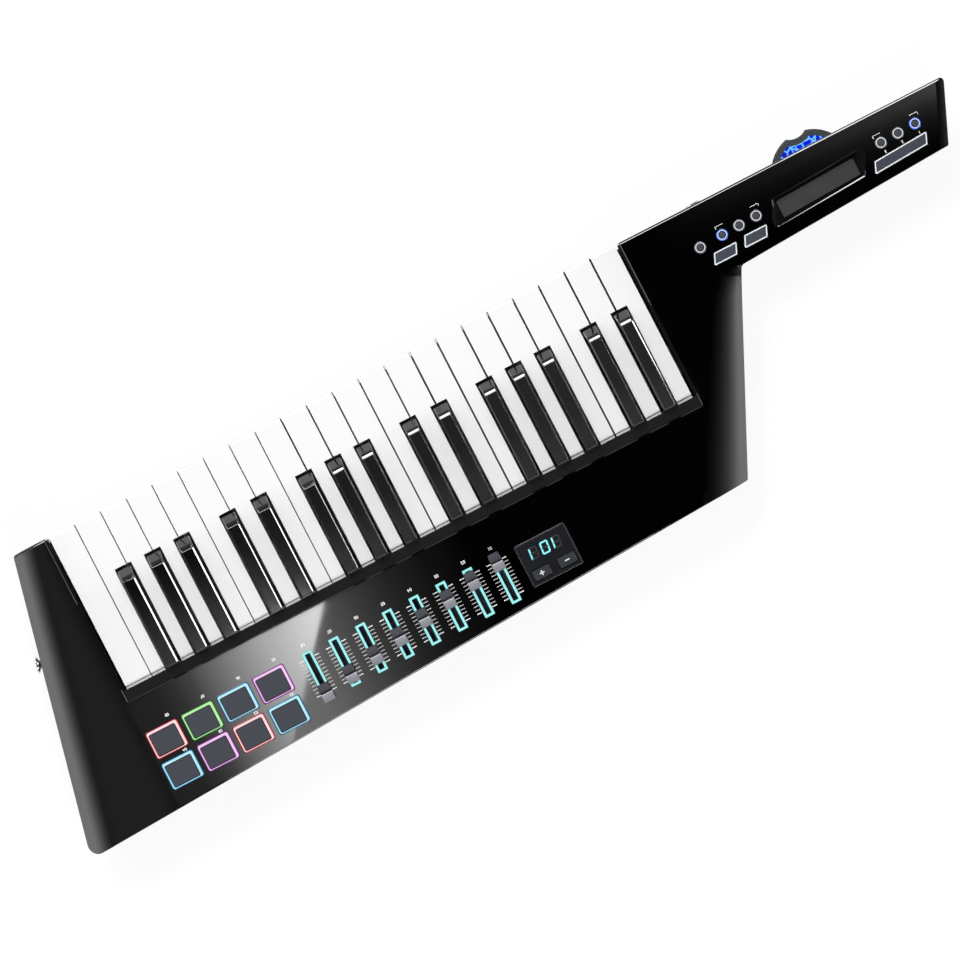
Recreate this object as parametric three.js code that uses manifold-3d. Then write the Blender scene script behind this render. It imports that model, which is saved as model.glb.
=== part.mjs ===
import * as THREE from 'three';
import { mergeVertices } from 'three/addons/utils/BufferGeometryUtils.js';
import Module from 'manifold-3d';

// A keytar with 37 sprung keys, lying on its back. Lengths are millimetres. x runs along the key
// row towards the neck, y from the panel towards the free ends of the keys, and z from the back
// of the case towards the player. x = 0 is the left end of the key row, y = 0 the key fronts.

const wasm = await Module();
wasm.setup();

// Clearance between pieces, how far a cutter runs past its face or past the end of a side, the
// finest distance between two points, and the facets of round forms.
const gap = 0.3;
const overrun = 3;
const runout = 10;
const finest = 0.001;
const facets = { corner: 3, small: 1, nose: 2, roll: 8, hole: 12, boss: 8, rod: 6, clip: 6, wheel: 24 };

// The white keys: row, visible part, hollow moulding and travel at the front.
const white = {
  count: 22, pitch: 23.5, gap: 0.9, reach: 139.3, lip: 20,
  skirt: 12, skin: 1.8, nose: 1.6, dip: 10, box: 20, boxSlope: 5,
};
const row = white.count * white.pitch;

// The black keys: the well cut for them in the white keys, and their tapered moulding.
const black = {
  well: 15, wellReach: 47.9, frontGap: 2.7, base: 12.6, shoulder: 11.4, crest: 9.1,
  rise: 11.5, edge: 1.2, slope: 6.5, skirt: 10, skin: 1.5, shank: 10,
};
// Their middles in white-key widths from the low end of each octave, which is the neck end.
const octave = { whites: 7, count: 3, middleShares: [0.91, 2.12, 3.9, 5.03, 6.16] };

// The hinge that all keys snap onto: a rod behind the trim rail, level with the key skirts.
const hinge = { behind: 26.7, radius: 2, clipWall: 2.2, whiteClip: 9, blackClip: 8, mouth: 3.2 };
const hingeReach = white.reach + hinge.behind;

// The case: two shells that meet at a seam, and how far the keys lie below the panel.
const shell = { wall: 2.6, rear: 32, front: 26, keyDrop: 5, tongue: 1.2, tongueRise: 2, tongueRoot: 3 };
const seamZ = shell.rear;
const panelZ = shell.rear + shell.front;
const keyTopZ = panelZ - shell.keyDrop;
const hingeZ = keyTopZ - white.skirt;
const underZ = panelZ - shell.wall;

// The case seen from the player: cheek left of the keys, control band below them, and the neck.
const trim = { width: 8.6, drop: 1, thickness: 2.4, wellGap: 3 };
const cheek = { top: 32.7, bottom: 89.7 };
const band = { left: 100.1, right: 71.2, overhang: 9.1 };
const neck = {
  rootReach: 83.5, rootDepth: 61.8, heelDepth: 52.3, reach: 300.1, tipLean: 22.3,
  tray: 8, foot: 1.5, overlap: 30,
};
const heelReach = neck.reach - neck.tipLean;
const rounding = { cheek: 3, lowerLeft: 9, lowerRight: 2, root: 4, heel: 3, tip: 4 };
const bandTop = -(white.reach + trim.width);

const corner = {
  cheek: { x: -cheek.top, y: 0, r: rounding.cheek },
  lowerLeft: { x: -cheek.bottom, y: bandTop - band.left, r: rounding.lowerLeft },
  lowerRight: { x: row + band.overhang, y: bandTop - band.right, r: rounding.lowerRight },
  root: { x: row + neck.rootReach, y: -neck.rootDepth, r: rounding.root },
  heel: { x: row + heelReach, y: -neck.heelDepth, r: rounding.heel },
  tip: { x: row + neck.reach, y: 0, r: rounding.tip },
};
const caseCorners = Object.values(corner);

// Edges of the front shell: the rolled ends, the bevelled neck tip and the fine bevel at the top.
// A roll is the upper part of a quarter ellipse that runs out in a flat flank of this slope.
const flank = 38 * Math.PI / 180;
const leftRoll = { width: 27, depth: 16, flank };
const rightRoll = { width: 36, depth: 16, flank, fade: 26 };
const tipBevel = { width: 8, depth: 7 };
const fineBevel = { width: 1.4, depth: 1.4 };

// The rear shell: how far its sides lean in at each height, as a tapered wall and a round foot.
const rearTaper = [
  { z: 0, inset: 12 },
  { z: 2.5, inset: 9.2 },
  { z: 7, inset: 7.4 },
  { z: seamZ - gap, inset: 0 },
];
const trayTaper = [
  { z: seamZ - neck.tray, inset: 3 },
  { z: seamZ - neck.tray + neck.foot, inset: 1.2 },
  { z: seamZ - gap, inset: 0 },
];

// The pads: two rows of square pads with a translucent skirt, in one mat.
const pad = {
  firstX: 10.9, pitchX: 32.35, columns: 4, top: 40.8, pitchY: 28, rows: 2,
  width: 23.4, depth: 18.3, skirtWidth: 28.2, skirtDepth: 23.6, proud: 1.6, round: 2,
  sheet: 1.4, margin: 2.4, crown: 0.8,
};

// The faders: slots, levers, slide pots, and the caps at their photographed rest places.
const fader = {
  count: 8, firstX: 143.6, pitch: 24.34, middle: 51.5, travel: 30.4, slotWidth: 4,
  slotLength: 39, leverWidth: 1.6, leverLength: 5, capWidth: 10.7, capLength: 15.6,
  capRise: 9.4, lift: 0.7, potWidth: 9, potLength: 44, potHeight: 7, potSlot: 2.4,
};

// The display block: a shallow lens recess, the digit window and two program buttons.
const display = {
  left: 331.5, width: 45.4, top: 31.7, depth: 36.8, recess: 0.8, round: 2,
  digitsX: 354, digitsDown: 43, digitsWidth: 34, digitsDepth: 14,
};
const program = { plusX: 342.8, minusX: 365.6, y: 60.7, width: 16, depth: 9.4, round: 1.5 };

// Every push button: cap above the panel, flange below it, stem, switch and travel.
const button = {
  proud: 0.8, travel: 0.8, flange: 1.2, flangeThickness: 1.2, stem: 2.4, chamfer: 0.6,
  switchSize: 6, switchHeight: 3, round: 1,
};

// Neck controls: shares of the neck's length along x, and lengths from the upper edge of the case.
// The round buttons stand in rows that run level with the lower side of the neck.
const knob = { radius: 4.3, hole: 4.75, proud: 0.8, pitchShare: 0.0567, rise: 0.6 };
const knobRows = [
  { count: 1, share: 0.2185, down: 33.1 },
  { count: 3, share: 0.292, down: 32.1 },
  { count: 3, share: 0.8267, down: 24.6 },
];
const octaveKey = {
  upShare: 0.2743, upDown: 47.2, downShare: 0.3773, downDown: 45.7,
  widthShare: 0.0742, depth: 9.6, lean: 4.2,
};
const sustainKey = { share: 0.8668, down: 39.9, widthShare: 0.172, depth: 9.9, lean: 3.6, rise: 2.6 };
const ribbon = {
  share: 0.6037, down: 34.5, mouthShare: 0.3024, mouthDepth: 21.6, floorShare: 0.2603, floorDepth: 15,
  lean: 8.2, mouthRise: 4.3, floorRise: 2.9, sink: 4,
};

function alongNeck(share) {
  return share * heelReach;
}

// The pitch wheel lies in the neck and stands out of its upper side.
const wheel = {
  share: 0.6206, down: 20, radius: 34, thickness: 8, rim: 5.6, web: 3, hub: 8, pin: 3, spoke: 1.6,
  spokes: 9, edge: 1, notchRadius: 10, notchDepth: 4, clearance: 0.8, headroom: 3.2,
};

// The boards below the panel.
const board = { thickness: 1.6, drop: 12.4, neckDrop: 10.4, margin: 1.2, post: 2.4 };
const mainBoard = { left: -8, right: 384, top: 28.6, postTop: 33.4, postLow: 61.2 };
const neckBoard = {
  leftShare: 0.1656, rightShare: 0.9683,
  posts: [{ share: 0.2, down: 12 }, { share: 0.7808, down: 14.4 }, { share: 0.9424, down: 9.6 }],
};
const boardZ = panelZ - board.drop - board.thickness;
const neckBoardZ = panelZ - board.neckDrop - board.thickness;

// The keybed chassis: front rail with guide posts, deck, contact strip, comb and rear wall.
const keybed = {
  wall: 2, toe: 17, railFront: 7.2, railBack: 24, post: 4, postDepth: 7, postSet: 10,
  stepFront: 58, stepBack: 72, stepHeight: 26, contactFront: 92, contactBack: 118,
  contactHeight: 34, engage: 6, comb: 1.6, combFront: 5, combBack: 7.5, side: 2,
};

// The battery bay for two pairs of AA cells, its door, and the sockets in the lower side.
const bay = { left: 180, width: 106, top: 32.4, height: 33, depth: 17, wall: 3.6 };
const door = {
  thickness: 2.4, margin: 2.4, pin: 0.6, pinLength: 1.6, tongueWidth: 16, tongueHeight: 4,
  tongueThickness: 1.2, tongueSet: 0.3, grips: 3, gripPitch: 3, gripDepth: 0.6,
};
const usb = { x: 30, width: 12, height: 9.4, length: 16, mouthWidth: 8.6, mouthHeight: 7.2, bore: 12 };
const jack = { x: 62, width: 14, height: 9.6, length: 22, nose: 4.4, hole: 4.7, bore: 3.2, depth: 20 };

// Screw bosses of the two shells, and the strap buttons with their seats in the tapered wall.
const screw = { boss: 4.5, head: 3.4, headDepth: 3 };
const strap = {
  length: 11, head: 7.2, headThickness: 2.2, waist: 3, foot: 5.4, footThickness: 2, seat: 7.6,
  peg: 2, pegLength: 6, endAlong: 91.5, endInset: 2.6, endZ: 21, neckX: 75.6, neckInset: 7.3, neckZ: 9.4,
};

// Solids from three.js geometry.

// A closed geometry as a solid. Triangles that shrink to a line at a pole are dropped.
function solid(geometry) {
  const bare = geometry.clone();
  bare.deleteAttribute('normal');
  bare.deleteAttribute('uv');
  const merged = mergeVertices(bare, finest);
  const corners = Array.from(merged.index.array);
  const triangles = [];
  for (let k = 0; k < corners.length; k += 3) {
    const [a, b, c] = corners.slice(k, k + 3);
    if (a !== b && b !== c && c !== a) {
      triangles.push(a, b, c);
    }
  }
  return new wasm.Manifold(new wasm.Mesh({
    numProp: 3,
    vertProperties: Float32Array.from(merged.attributes.position.array),
    triVerts: Uint32Array.from(triangles),
  }));
}

function joined(solids) {
  return solids.reduce((sum, next) => sum.add(next));
}

function without(body, cutters) {
  return cutters.reduce((rest, next) => rest.subtract(next), body);
}

function geometryOf(body) {
  const { vertProperties, triVerts } = body.getMesh();
  const geometry = new THREE.BufferGeometry();
  geometry.setAttribute('position', new THREE.BufferAttribute(vertProperties, 3));
  geometry.setIndex(new THREE.BufferAttribute(triVerts, 1));
  geometry.computeVertexNormals();
  return geometry;
}

// A block between two opposite corners.
function block([x0, y0, z0], [x1, y1, z1]) {
  const geometry = new THREE.BoxGeometry(x1 - x0, y1 - y0, z1 - z0);
  return solid(geometry.translate((x0 + x1) / 2, (y0 + y1) / 2, (z0 + z1) / 2));
}

// An upright plate with the given outline, from one height to another.
function prism(points, low, high) {
  const shape = new THREE.Shape(points);
  const geometry = new THREE.ExtrudeGeometry(shape, { depth: high - low, bevelEnabled: false });
  return solid(geometry.translate(0, 0, low));
}

// A profile drawn in y and z, run along x.
function bar(profile, left, right) {
  const geometry = new THREE.ExtrudeGeometry(
    new THREE.Shape(profile), { depth: right - left, bevelEnabled: false });
  const axes = new THREE.Matrix4().makeBasis(
    new THREE.Vector3(0, 1, 0), new THREE.Vector3(0, 0, 1), new THREE.Vector3(1, 0, 0));
  return solid(geometry.applyMatrix4(axes).translate(left, 0, 0));
}

// A profile drawn in x and z, run along y.
function rail(profile, front, back) {
  const geometry = new THREE.ExtrudeGeometry(
    new THREE.Shape(profile), { depth: back - front, bevelEnabled: false });
  return solid(geometry.rotateX(Math.PI / 2).translate(0, back, 0));
}

// An upright cylinder.
function drum(x, y, low, high, radius, sides = facets.boss) {
  const geometry = new THREE.CylinderGeometry(radius, radius, high - low, sides);
  return solid(geometry.rotateX(Math.PI / 2).translate(x, y, (low + high) / 2));
}

// A cylinder along x.
function rod(left, right, y, z, radius, sides = facets.boss) {
  const geometry = new THREE.CylinderGeometry(radius, radius, right - left, sides);
  return solid(geometry.rotateZ(Math.PI / 2).translate((left + right) / 2, y, z));
}

// A skin through rings of equally many points, closed by a cap at each end.
function loftGeometry(rings) {
  const count = rings[0].points.length;
  const positions = rings.flatMap(({ points, z }) => points.flatMap((p) => [p.x, p.y, z]));
  const index = [];
  for (let ring = 0; ring < rings.length - 1; ring += 1) {
    for (let k = 0; k < count; k += 1) {
      const a = ring * count + k;
      const b = ring * count + (k + 1) % count;
      index.push(a, b, b + count, a, b + count, a + count);
    }
  }
  const last = (rings.length - 1) * count;
  for (const [a, b, c] of THREE.ShapeUtils.triangulateShape(rings[0].points, [])) {
    index.push(a, c, b);
  }
  for (const [a, b, c] of THREE.ShapeUtils.triangulateShape(rings[rings.length - 1].points, [])) {
    index.push(last + a, last + b, last + c);
  }
  const geometry = new THREE.BufferGeometry();
  geometry.setAttribute('position', new THREE.Float32BufferAttribute(positions, 3));
  geometry.setIndex(index);
  return geometry;
}

// Outlines.

function meet(a, b) {
  const cross = a.dir.x * b.dir.y - a.dir.y * b.dir.x;
  const t = ((b.from.x - a.from.x) * b.dir.y - (b.from.y - a.from.y) * b.dir.x) / cross;
  return new THREE.Vector2(a.from.x + a.dir.x * t, a.from.y + a.dir.y * t);
}

// One side of an anticlockwise outline, moved inwards.
function side(a, b, inset) {
  const dir = new THREE.Vector2(b.x - a.x, b.y - a.y).normalize();
  return { dir, from: new THREE.Vector2(a.x - dir.y * inset, a.y + dir.x * inset) };
}

// The points of an outline, its sides moved inwards and its corners rounded concentrically.
function outline(corners, inset = 0, steps = facets.corner) {
  const sides = corners.map((a, i) => side(a, corners[(i + 1) % corners.length], inset));
  return corners.flatMap((at, i) => {
    const before = sides[(i + corners.length - 1) % corners.length];
    const after = sides[i];
    const point = meet(before, after);
    const turn = Math.atan2(before.dir.cross(after.dir), before.dir.dot(after.dir));
    const radius = Math.max(turn > 0 ? at.r - inset : at.r + inset, gap);
    const reach = radius * Math.tan(Math.abs(turn) / 2);
    const start = point.clone().addScaledVector(before.dir, -reach);
    const inward = new THREE.Vector2(-before.dir.y, before.dir.x).multiplyScalar(Math.sign(turn));
    const centre = start.clone().addScaledVector(inward, radius);
    return Array.from({ length: steps + 1 }, (_, k) => (
      start.clone().rotateAround(centre, turn * k / steps)));
  });
}

// The corners of an upright or leaning rectangle about its middle: lean moves the upper side
// along x, and rise moves the right side along y.
function leaning({ x, y, width, depth, lean = 0, rise = 0, round }) {
  const place = (h, v) => ({
    x: x + h * width / 2 + v * lean / 2, y: y + v * depth / 2 + h * rise / 2, r: round,
  });
  return [place(-1, -1), place(1, -1), place(1, 1), place(-1, 1)];
}

// A tapered or chamfered plate: one outline at several heights and insets.
function tapered(corners, levels, steps = facets.corner) {
  const rings = levels.map(({ z, inset }) => ({ points: outline(corners, inset, steps), z }));
  return solid(loftGeometry(rings));
}

// What a rolled or bevelled edge takes off the panel along one side of the case: the corner
// outside a quarter ellipse, or outside its flank where it has one. inset gives the cutter for the
// inner face of the wall, and fade lets the roll run out before the end of the side.
function edgeCutter(a, b, roll, inset = 0, steps = facets.roll) {
  const { dir, from } = side(a, b, inset);
  const length = Math.hypot(b.x - a.x, b.y - a.y);
  const width = roll.width - inset;
  const depth = roll.depth - inset;
  const first = roll.flank ? Math.atan(depth / width / Math.tan(roll.flank)) : 0;
  const section = (scale) => {
    const curve = Array.from({ length: steps + 1 }, (_, k) => {
      const angle = first + k / steps * (Math.PI / 2 - first);
      return new THREE.Vector2(
        width * scale * (1 - Math.cos(angle)), depth * scale * (Math.sin(angle) - 1));
    });
    const foot = curve[0].y - curve[0].x * Math.tan(roll.flank ?? 0);
    const low = new THREE.Vector2(-overrun, foot - overrun * Math.tan(roll.flank ?? 0));
    return [low, ...curve, new THREE.Vector2(width * scale, overrun), new THREE.Vector2(-overrun, overrun)];
  };
  const rings = [{ points: section(1), z: -runout }];
  if (roll.fade) {
    for (let k = 0; k <= facets.corner; k += 1) {
      const share = k / facets.corner;
      const scale = Math.max(Math.cos(share * Math.PI / 2), finest);
      rings.push({ points: section(scale), z: length - roll.fade * (1 - share) });
    }
  } else {
    rings.push({ points: section(1), z: length + runout });
  }
  const frame = new THREE.Matrix4().makeBasis(
    new THREE.Vector3(-dir.y, dir.x, 0), new THREE.Vector3(0, 0, 1), new THREE.Vector3(dir.x, dir.y, 0));
  frame.setPosition(from.x, from.y, panelZ - inset);
  return solid(loftGeometry(rings).applyMatrix4(frame));
}

function rollCutters(inset) {
  return [
    edgeCutter(corner.cheek, corner.lowerLeft, leftRoll, inset),
    edgeCutter(corner.lowerRight, corner.root, rightRoll, inset),
    edgeCutter(corner.heel, corner.tip, tipBevel, inset, facets.corner),
  ];
}

// Named, coloured meshes.

const finish = {
  glossBlack: { color: 0x101012, roughness: 0.12, metalness: 0 },
  satinBlack: { color: 0x1a1a1c, roughness: 0.5, metalness: 0 },
  keyWhite: { color: 0xf6f6f4, roughness: 0.22, metalness: 0 },
  keyBlack: { color: 0x18181b, roughness: 0.3, metalness: 0 },
  chassisGrey: { color: 0x3a3c40, roughness: 0.6, metalness: 0 },
  boardGreen: { color: 0x1f4a35, roughness: 0.5, metalness: 0 },
  silicone: { color: 0x45464f, roughness: 0.7, metalness: 0 },
  capGrey: { color: 0x4a4b52, roughness: 0.45, metalness: 0 },
  wheelBlue: { color: 0x23264a, roughness: 0.3, metalness: 0 },
  chrome: { color: 0xd8d8dc, roughness: 0.08, metalness: 1 },
};

function piece(name, body, look, place = [0, 0, 0]) {
  const mesh = new THREE.Mesh(geometryOf(body), new THREE.MeshStandardMaterial(finish[look]));
  mesh.name = name;
  mesh.position.set(...place);
  return mesh;
}

// Keys.

const blackMiddles = Array.from({ length: octave.count }, (_, k) => (
  octave.middleShares.map((share) => row - (octave.whites * k + share) * white.pitch))).flat();

// The C-shaped clip that snaps onto the hinge rod, with the arm that joins it to the key.
function clip(middle, width, armReach) {
  const inner = hinge.radius + gap;
  const outer = inner + hinge.clipWall;
  const open = Math.asin(hinge.mouth / 2 / inner);
  const bore = Array.from({ length: facets.clip + 1 }, (_, k) => {
    const angle = -Math.PI / 2 + open + (2 * Math.PI - 2 * open) * k / facets.clip;
    return new THREE.Vector2(
      -hingeReach + inner * Math.cos(angle), hingeZ + inner * Math.sin(angle));
  });
  const jaw = hinge.mouth / 2;
  const arm = hingeReach - armReach;
  const jacket = [
    [-jaw, -outer], [-outer, -inner], [-outer, outer], [arm, outer], [arm, 0], [outer, 0],
    [outer, -inner], [jaw, -outer],
  ].map(([y, z]) => new THREE.Vector2(y - hingeReach, z + hingeZ));
  return bar([...bore, ...jacket], middle - width / 2, middle + width / 2);
}

const shankEnd = hingeReach - hinge.radius - gap - hinge.clipWall - keybed.combFront / 2;

// The side view of a white key: rounded nose, deep front box, skirt and rear wall. With a skin
// it is the side view of the hollow.
function whiteProfile(skin) {
  const top = keyTopZ - skin;
  const front = -skin;
  const back = -shankEnd + skin;
  const radius = Math.max(white.nose - skin, gap);
  const nose = Array.from({ length: facets.nose + 1 }, (_, k) => {
    const angle = k / facets.nose * Math.PI / 2;
    return new THREE.Vector2(
      front - radius * (1 - Math.cos(angle)), top - radius * (1 - Math.sin(angle)));
  });
  const open = keyTopZ - white.lip - overrun;
  const under = skin ? [[back, open], [front, open]] : [
    [back, hingeZ], [front - white.box - white.boxSlope, hingeZ],
    [front - white.box, keyTopZ - white.lip], [front, keyTopZ - white.lip]];
  return [...nose, new THREE.Vector2(back, top), ...under.map(([y, z]) => new THREE.Vector2(y, z))];
}

function whiteKey(index) {
  const middle = (index + 1 / 2) * white.pitch;
  const half = (white.pitch - white.gap) / 2;
  const low = keyTopZ - white.lip - overrun;
  const wells = (wall) => blackMiddles
    .map((x) => x - middle)
    .filter((x) => Math.abs(x) < half + black.well / 2)
    .map((x) => block(
      [x - black.well / 2 - wall, -hingeReach, low],
      [x + black.well / 2 + wall, -black.wellReach + wall, keyTopZ + overrun]));
  const outer = without(bar(whiteProfile(0), -half, half), wells(0));
  const inner = without(
    bar(whiteProfile(white.skin), -half + white.skin, half - white.skin), wells(white.skin));
  const rear = outer.intersect(
    block([-half, -shankEnd, hingeZ], [half, -shankEnd + white.skin, keyTopZ])).boundingBox();
  const tail = (rear.min[0] + rear.max[0]) / 2;
  const body = outer.subtract(inner).add(clip(tail, hinge.whiteClip, shankEnd - white.skin));
  return { body, middle, tail: middle + tail };
}

// A black key: its side profile run across, met by its tapered cross-section run along it. It
// steps down and narrows to its shank behind the trim rail, and is hollow from below.
function blackKey() {
  const front = -(black.wellReach + black.frontGap);
  const top = keyTopZ + black.rise;
  const low = keyTopZ - black.skirt;
  const { skin, edge } = black;
  const end = -white.reach + skin;
  const buried = keyTopZ - edge;
  const slopeEnd = front - black.slope;
  const profile = [
    [front, low], [front, keyTopZ], [slopeEnd, top - edge / 2], [slopeEnd - edge, top],
    [end, top], [end, buried], [-shankEnd, buried], [-shankEnd, low],
  ].map(([y, z]) => new THREE.Vector2(y, z));
  const half = [
    [black.base / 2, low], [black.base / 2, keyTopZ],
    [black.shoulder / 2, top - edge], [black.crest / 2, top],
  ];
  const section = [...half, ...half.toReversed().map(([x, z]) => [-x, z])]
    .map(([x, z]) => new THREE.Vector2(x, z));
  const sides = [[-black.base, -black.shank / 2], [black.shank / 2, black.base]]
    .map(([left, right]) => block([left, -hingeReach, low - overrun], [right, bandTop, keyTopZ]));
  const hollow = [
    [slopeEnd - skin, low - overrun], [slopeEnd - skin, top - skin], [end + skin, top - skin],
    [end + skin, buried - skin], [-shankEnd + skin, buried - skin], [-shankEnd + skin, low - overrun],
  ].map(([y, z]) => new THREE.Vector2(y, z));
  const reach = black.shank / 2 - skin;
  return without(bar(profile, -black.base, black.base).intersect(rail(section, -hingeReach, 0)), sides)
    .subtract(bar(hollow, -reach, reach))
    .add(clip(0, hinge.blackClip, shankEnd - skin));
}

// The front shell.

function padMiddles() {
  return Array.from({ length: pad.rows * pad.columns }, (_, k) => ({
    x: pad.firstX + pad.pitchX * (k % pad.columns),
    y: bandTop - pad.top - pad.pitchY * Math.floor(k / pad.columns),
  }));
}

function faderX(index) {
  return fader.firstX + fader.pitch * index;
}

const faderY = bandTop - fader.middle;
const programY = bandTop - program.y;
const knobMiddles = knobRows.flatMap(({ count, share, down }) => (
  Array.from({ length: count }, (_, k) => (
    { x: row + alongNeck(share + knob.pitchShare * k), y: -down + knob.rise * k }))));
const octaveCorners = [
  { x: row + alongNeck(octaveKey.upShare), y: -octaveKey.upDown },
  { x: row + alongNeck(octaveKey.downShare), y: -octaveKey.downDown },
].map((at) => leaning({
  ...octaveKey, ...at, width: alongNeck(octaveKey.widthShare), round: button.round }));
const sustainCorners = leaning({
  ...sustainKey, x: row + alongNeck(sustainKey.share), y: -sustainKey.down,
  width: alongNeck(sustainKey.widthShare), round: button.round });
const programCorners = [program.plusX, program.minusX]
  .map((x) => leaning({ ...program, x, y: programY }));

// The ribbon's recess: a frustum from its mouth in the panel down to its floor.
function ribbonRecess(wall) {
  const place = { x: row + alongNeck(ribbon.share), y: -ribbon.down, round: button.round };
  const mouth = leaning({
    ...place, width: alongNeck(ribbon.mouthShare), depth: ribbon.mouthDepth,
    lean: ribbon.lean, rise: ribbon.mouthRise });
  const floor = leaning({
    ...place, width: alongNeck(ribbon.floorShare), depth: ribbon.floorDepth, rise: ribbon.floorRise });
  const slope = overrun / ribbon.sink;
  const grown = (from, to) => from.map((p, i) => ({
    x: p.x + (p.x - to[i].x) * slope, y: p.y + (p.y - to[i].y) * slope, r: p.r }));
  const lip = grown(mouth, floor);
  return solid(loftGeometry([
    { points: outline(floor, -wall, facets.small), z: panelZ - ribbon.sink - wall },
    { points: outline(lip, -wall, facets.small), z: panelZ + overrun - wall },
  ]));
}

function frontShell() {
  const seam = seamZ + gap;
  const outer = without(prism(outline(caseCorners), seam, panelZ), rollCutters(0));
  const inner = without(
    prism(outline(caseCorners, shell.wall), seam - overrun, underZ), rollCutters(shell.wall));
  const cavity = without(inner, [...wellWalls(), ribbonRecess(shell.wall)]);
  return without(outer, [cavity, ...fineBevels(), ...keyWell(), ribbonRecess(0), ...frontOpenings()])
    .add(without(joined(frontPosts()), rollCutters(shell.wall / 2)));
}

// The narrow bevels along the upper and the lower side of the case.
function fineBevels() {
  return [[corner.tip, corner.cheek], [corner.lowerLeft, corner.lowerRight]]
    .map(([a, b]) => edgeCutter(a, b, fineBevel, 0, facets.small));
}

// The key well's side walls and the ledge under the trim rail.
function wellWalls() {
  const left = -trim.wellGap - shell.wall;
  const right = row + trim.wellGap + shell.wall;
  return [
    block([left, -white.reach, seamZ - overrun], [right, overrun, panelZ]),
    block([left, bandTop - shell.wall, ledgeZ - trim.thickness], [right, -white.reach, panelZ]),
  ];
}

const ledgeZ = panelZ - trim.drop;

function keyWell() {
  const left = -trim.wellGap;
  const right = row + trim.wellGap;
  return [
    block([left, -white.reach, seamZ - overrun], [right, overrun, panelZ + overrun]),
    block([left, bandTop, ledgeZ], [right, -white.reach + overrun, panelZ + overrun]),
  ];
}

function frontOpenings() {
  const low = underZ - overrun;
  const high = panelZ + overrun;
  const padWindows = padMiddles().map((at) => prism(padOutline(at, 0), low, high));
  const slots = Array.from({ length: fader.count }, (_, k) => block(
    [faderX(k) - fader.slotWidth / 2, faderY - fader.slotLength / 2, low],
    [faderX(k) + fader.slotWidth / 2, faderY + fader.slotLength / 2, high]));
  const knobHoles = knobMiddles.map(({ x, y }) => drum(x, y, low, high, knob.hole, facets.hole));
  const buttonHoles = [...octaveCorners, sustainCorners, ...programCorners]
    .map((corners) => prism(outline(corners, -gap, facets.small), low, high));
  const wheelSlot = drum(wheelX, -wheel.down, wheelZ - wheel.clearance,
    wheelZ + wheel.thickness + wheel.clearance, wheel.radius + wheel.clearance, facets.wheel);
  return [...padWindows, ...slots, ...knobHoles, ...buttonHoles, ...lensCuts(), ...frontPorts(), wheelSlot];
}

function padOutline(at, inset) {
  return outline(leaning({
    ...at, width: pad.skirtWidth, depth: pad.skirtDepth, round: pad.round }), inset, facets.small);
}

// The shallow recess of the display's lens, and the window that the digits shine through.
function lensCuts() {
  const high = panelZ + overrun;
  const lens = outline(leaning({
    ...display, x: display.left + display.width / 2, y: bandTop - display.top - display.depth / 2,
  }), 0, facets.small);
  return [prism(lens, panelZ - display.recess, high), digitBlock(underZ - overrun, high)];
}

// A block over the digits, from one height to another.
function digitBlock(low, high) {
  const y = bandTop - display.digitsDown;
  return block(
    [display.digitsX - display.digitsWidth / 2, y - display.digitsDepth / 2, low],
    [display.digitsX + display.digitsWidth / 2, y + display.digitsDepth / 2, high]);
}

// The lower side of the case, where the sockets open.
function lowerWall(x, inset) {
  const { dir, from } = side(corner.lowerLeft, corner.lowerRight, inset);
  return from.y + (x - from.x) * dir.y / dir.x;
}

function frontPorts() {
  const usbY = lowerWall(usb.x, 0);
  const jackY = lowerWall(jack.x, 0);
  const usbHole = block(
    [usb.x - usb.width / 2 - gap, usbY - overrun, boardZ - usb.height - gap],
    [usb.x + usb.width / 2 + gap, usbY + overrun + shell.wall, boardZ]);
  const jackHole = alongY(jack.x, boardZ - jack.height / 2, jackY - overrun,
    jackY + overrun + shell.wall, jack.hole, facets.hole);
  return [usbHole, jackHole];
}

// A cylinder along y.
function alongY(x, z, front, back, radius, sides = facets.boss) {
  const geometry = new THREE.CylinderGeometry(radius, radius, back - front, sides);
  return solid(geometry.translate(x, (front + back) / 2, z));
}

// Posts under the panel: the halves of the screw bosses, and those that hold the boards.
function frontPosts() {
  const top = underZ + gap;
  const bosses = bossPlaces().map(({ x, y }) => drum(x, y, seamZ + gap, top, screw.boss));
  const boardPosts = boardPostPlaces()
    .map(({ x, y, z }) => drum(x, y, z + board.thickness + gap, top, board.post));
  return [...bosses, ...boardPosts];
}

function bossPlaces() {
  const inset = screw.boss + shell.wall * 2;
  const tipMiddle = row + neck.reach - neck.tipLean / 2;
  return [
    { x: -(screw.boss * 2 + trim.wellGap + shell.wall), y: -inset * 2 },
    { x: -cheek.top, y: bandTop - band.left / 2 },
    { x: mainBoard.right + inset * 2, y: bandTop - band.right / 2 },
    { x: row + trim.wellGap + inset * 2, y: bandTop },
    { x: row + trim.wellGap + inset * 2, y: -inset * 2 },
    { x: tipMiddle - tipBevel.width - shell.wall, y: -neck.heelDepth / 2 },
  ];
}

// The posts of the main board stand between the outer faders.
function boardPostPlaces() {
  const columns = [1 / 2, fader.count - 3 / 2].map(faderX);
  const mainPosts = columns.flatMap((x) => [mainBoard.postTop, mainBoard.postLow]
    .map((y) => ({ x, y: bandTop - y, z: boardZ })));
  const neckPosts = neckBoard.posts
    .map(({ share, down }) => ({ x: row + alongNeck(share), y: -down, z: neckBoardZ }));
  return [...mainPosts, ...neckPosts];
}

// The rear shell.

const bodyCorners = (() => {
  const right = side(corner.lowerRight, corner.root, 0);
  const top = { dir: new THREE.Vector2(1, 0), from: new THREE.Vector2(0, 0) };
  const head = meet(right, top);
  return [corner.cheek, corner.lowerLeft, corner.lowerRight, { x: head.x, y: head.y, r: rounding.root }];
})();

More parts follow.
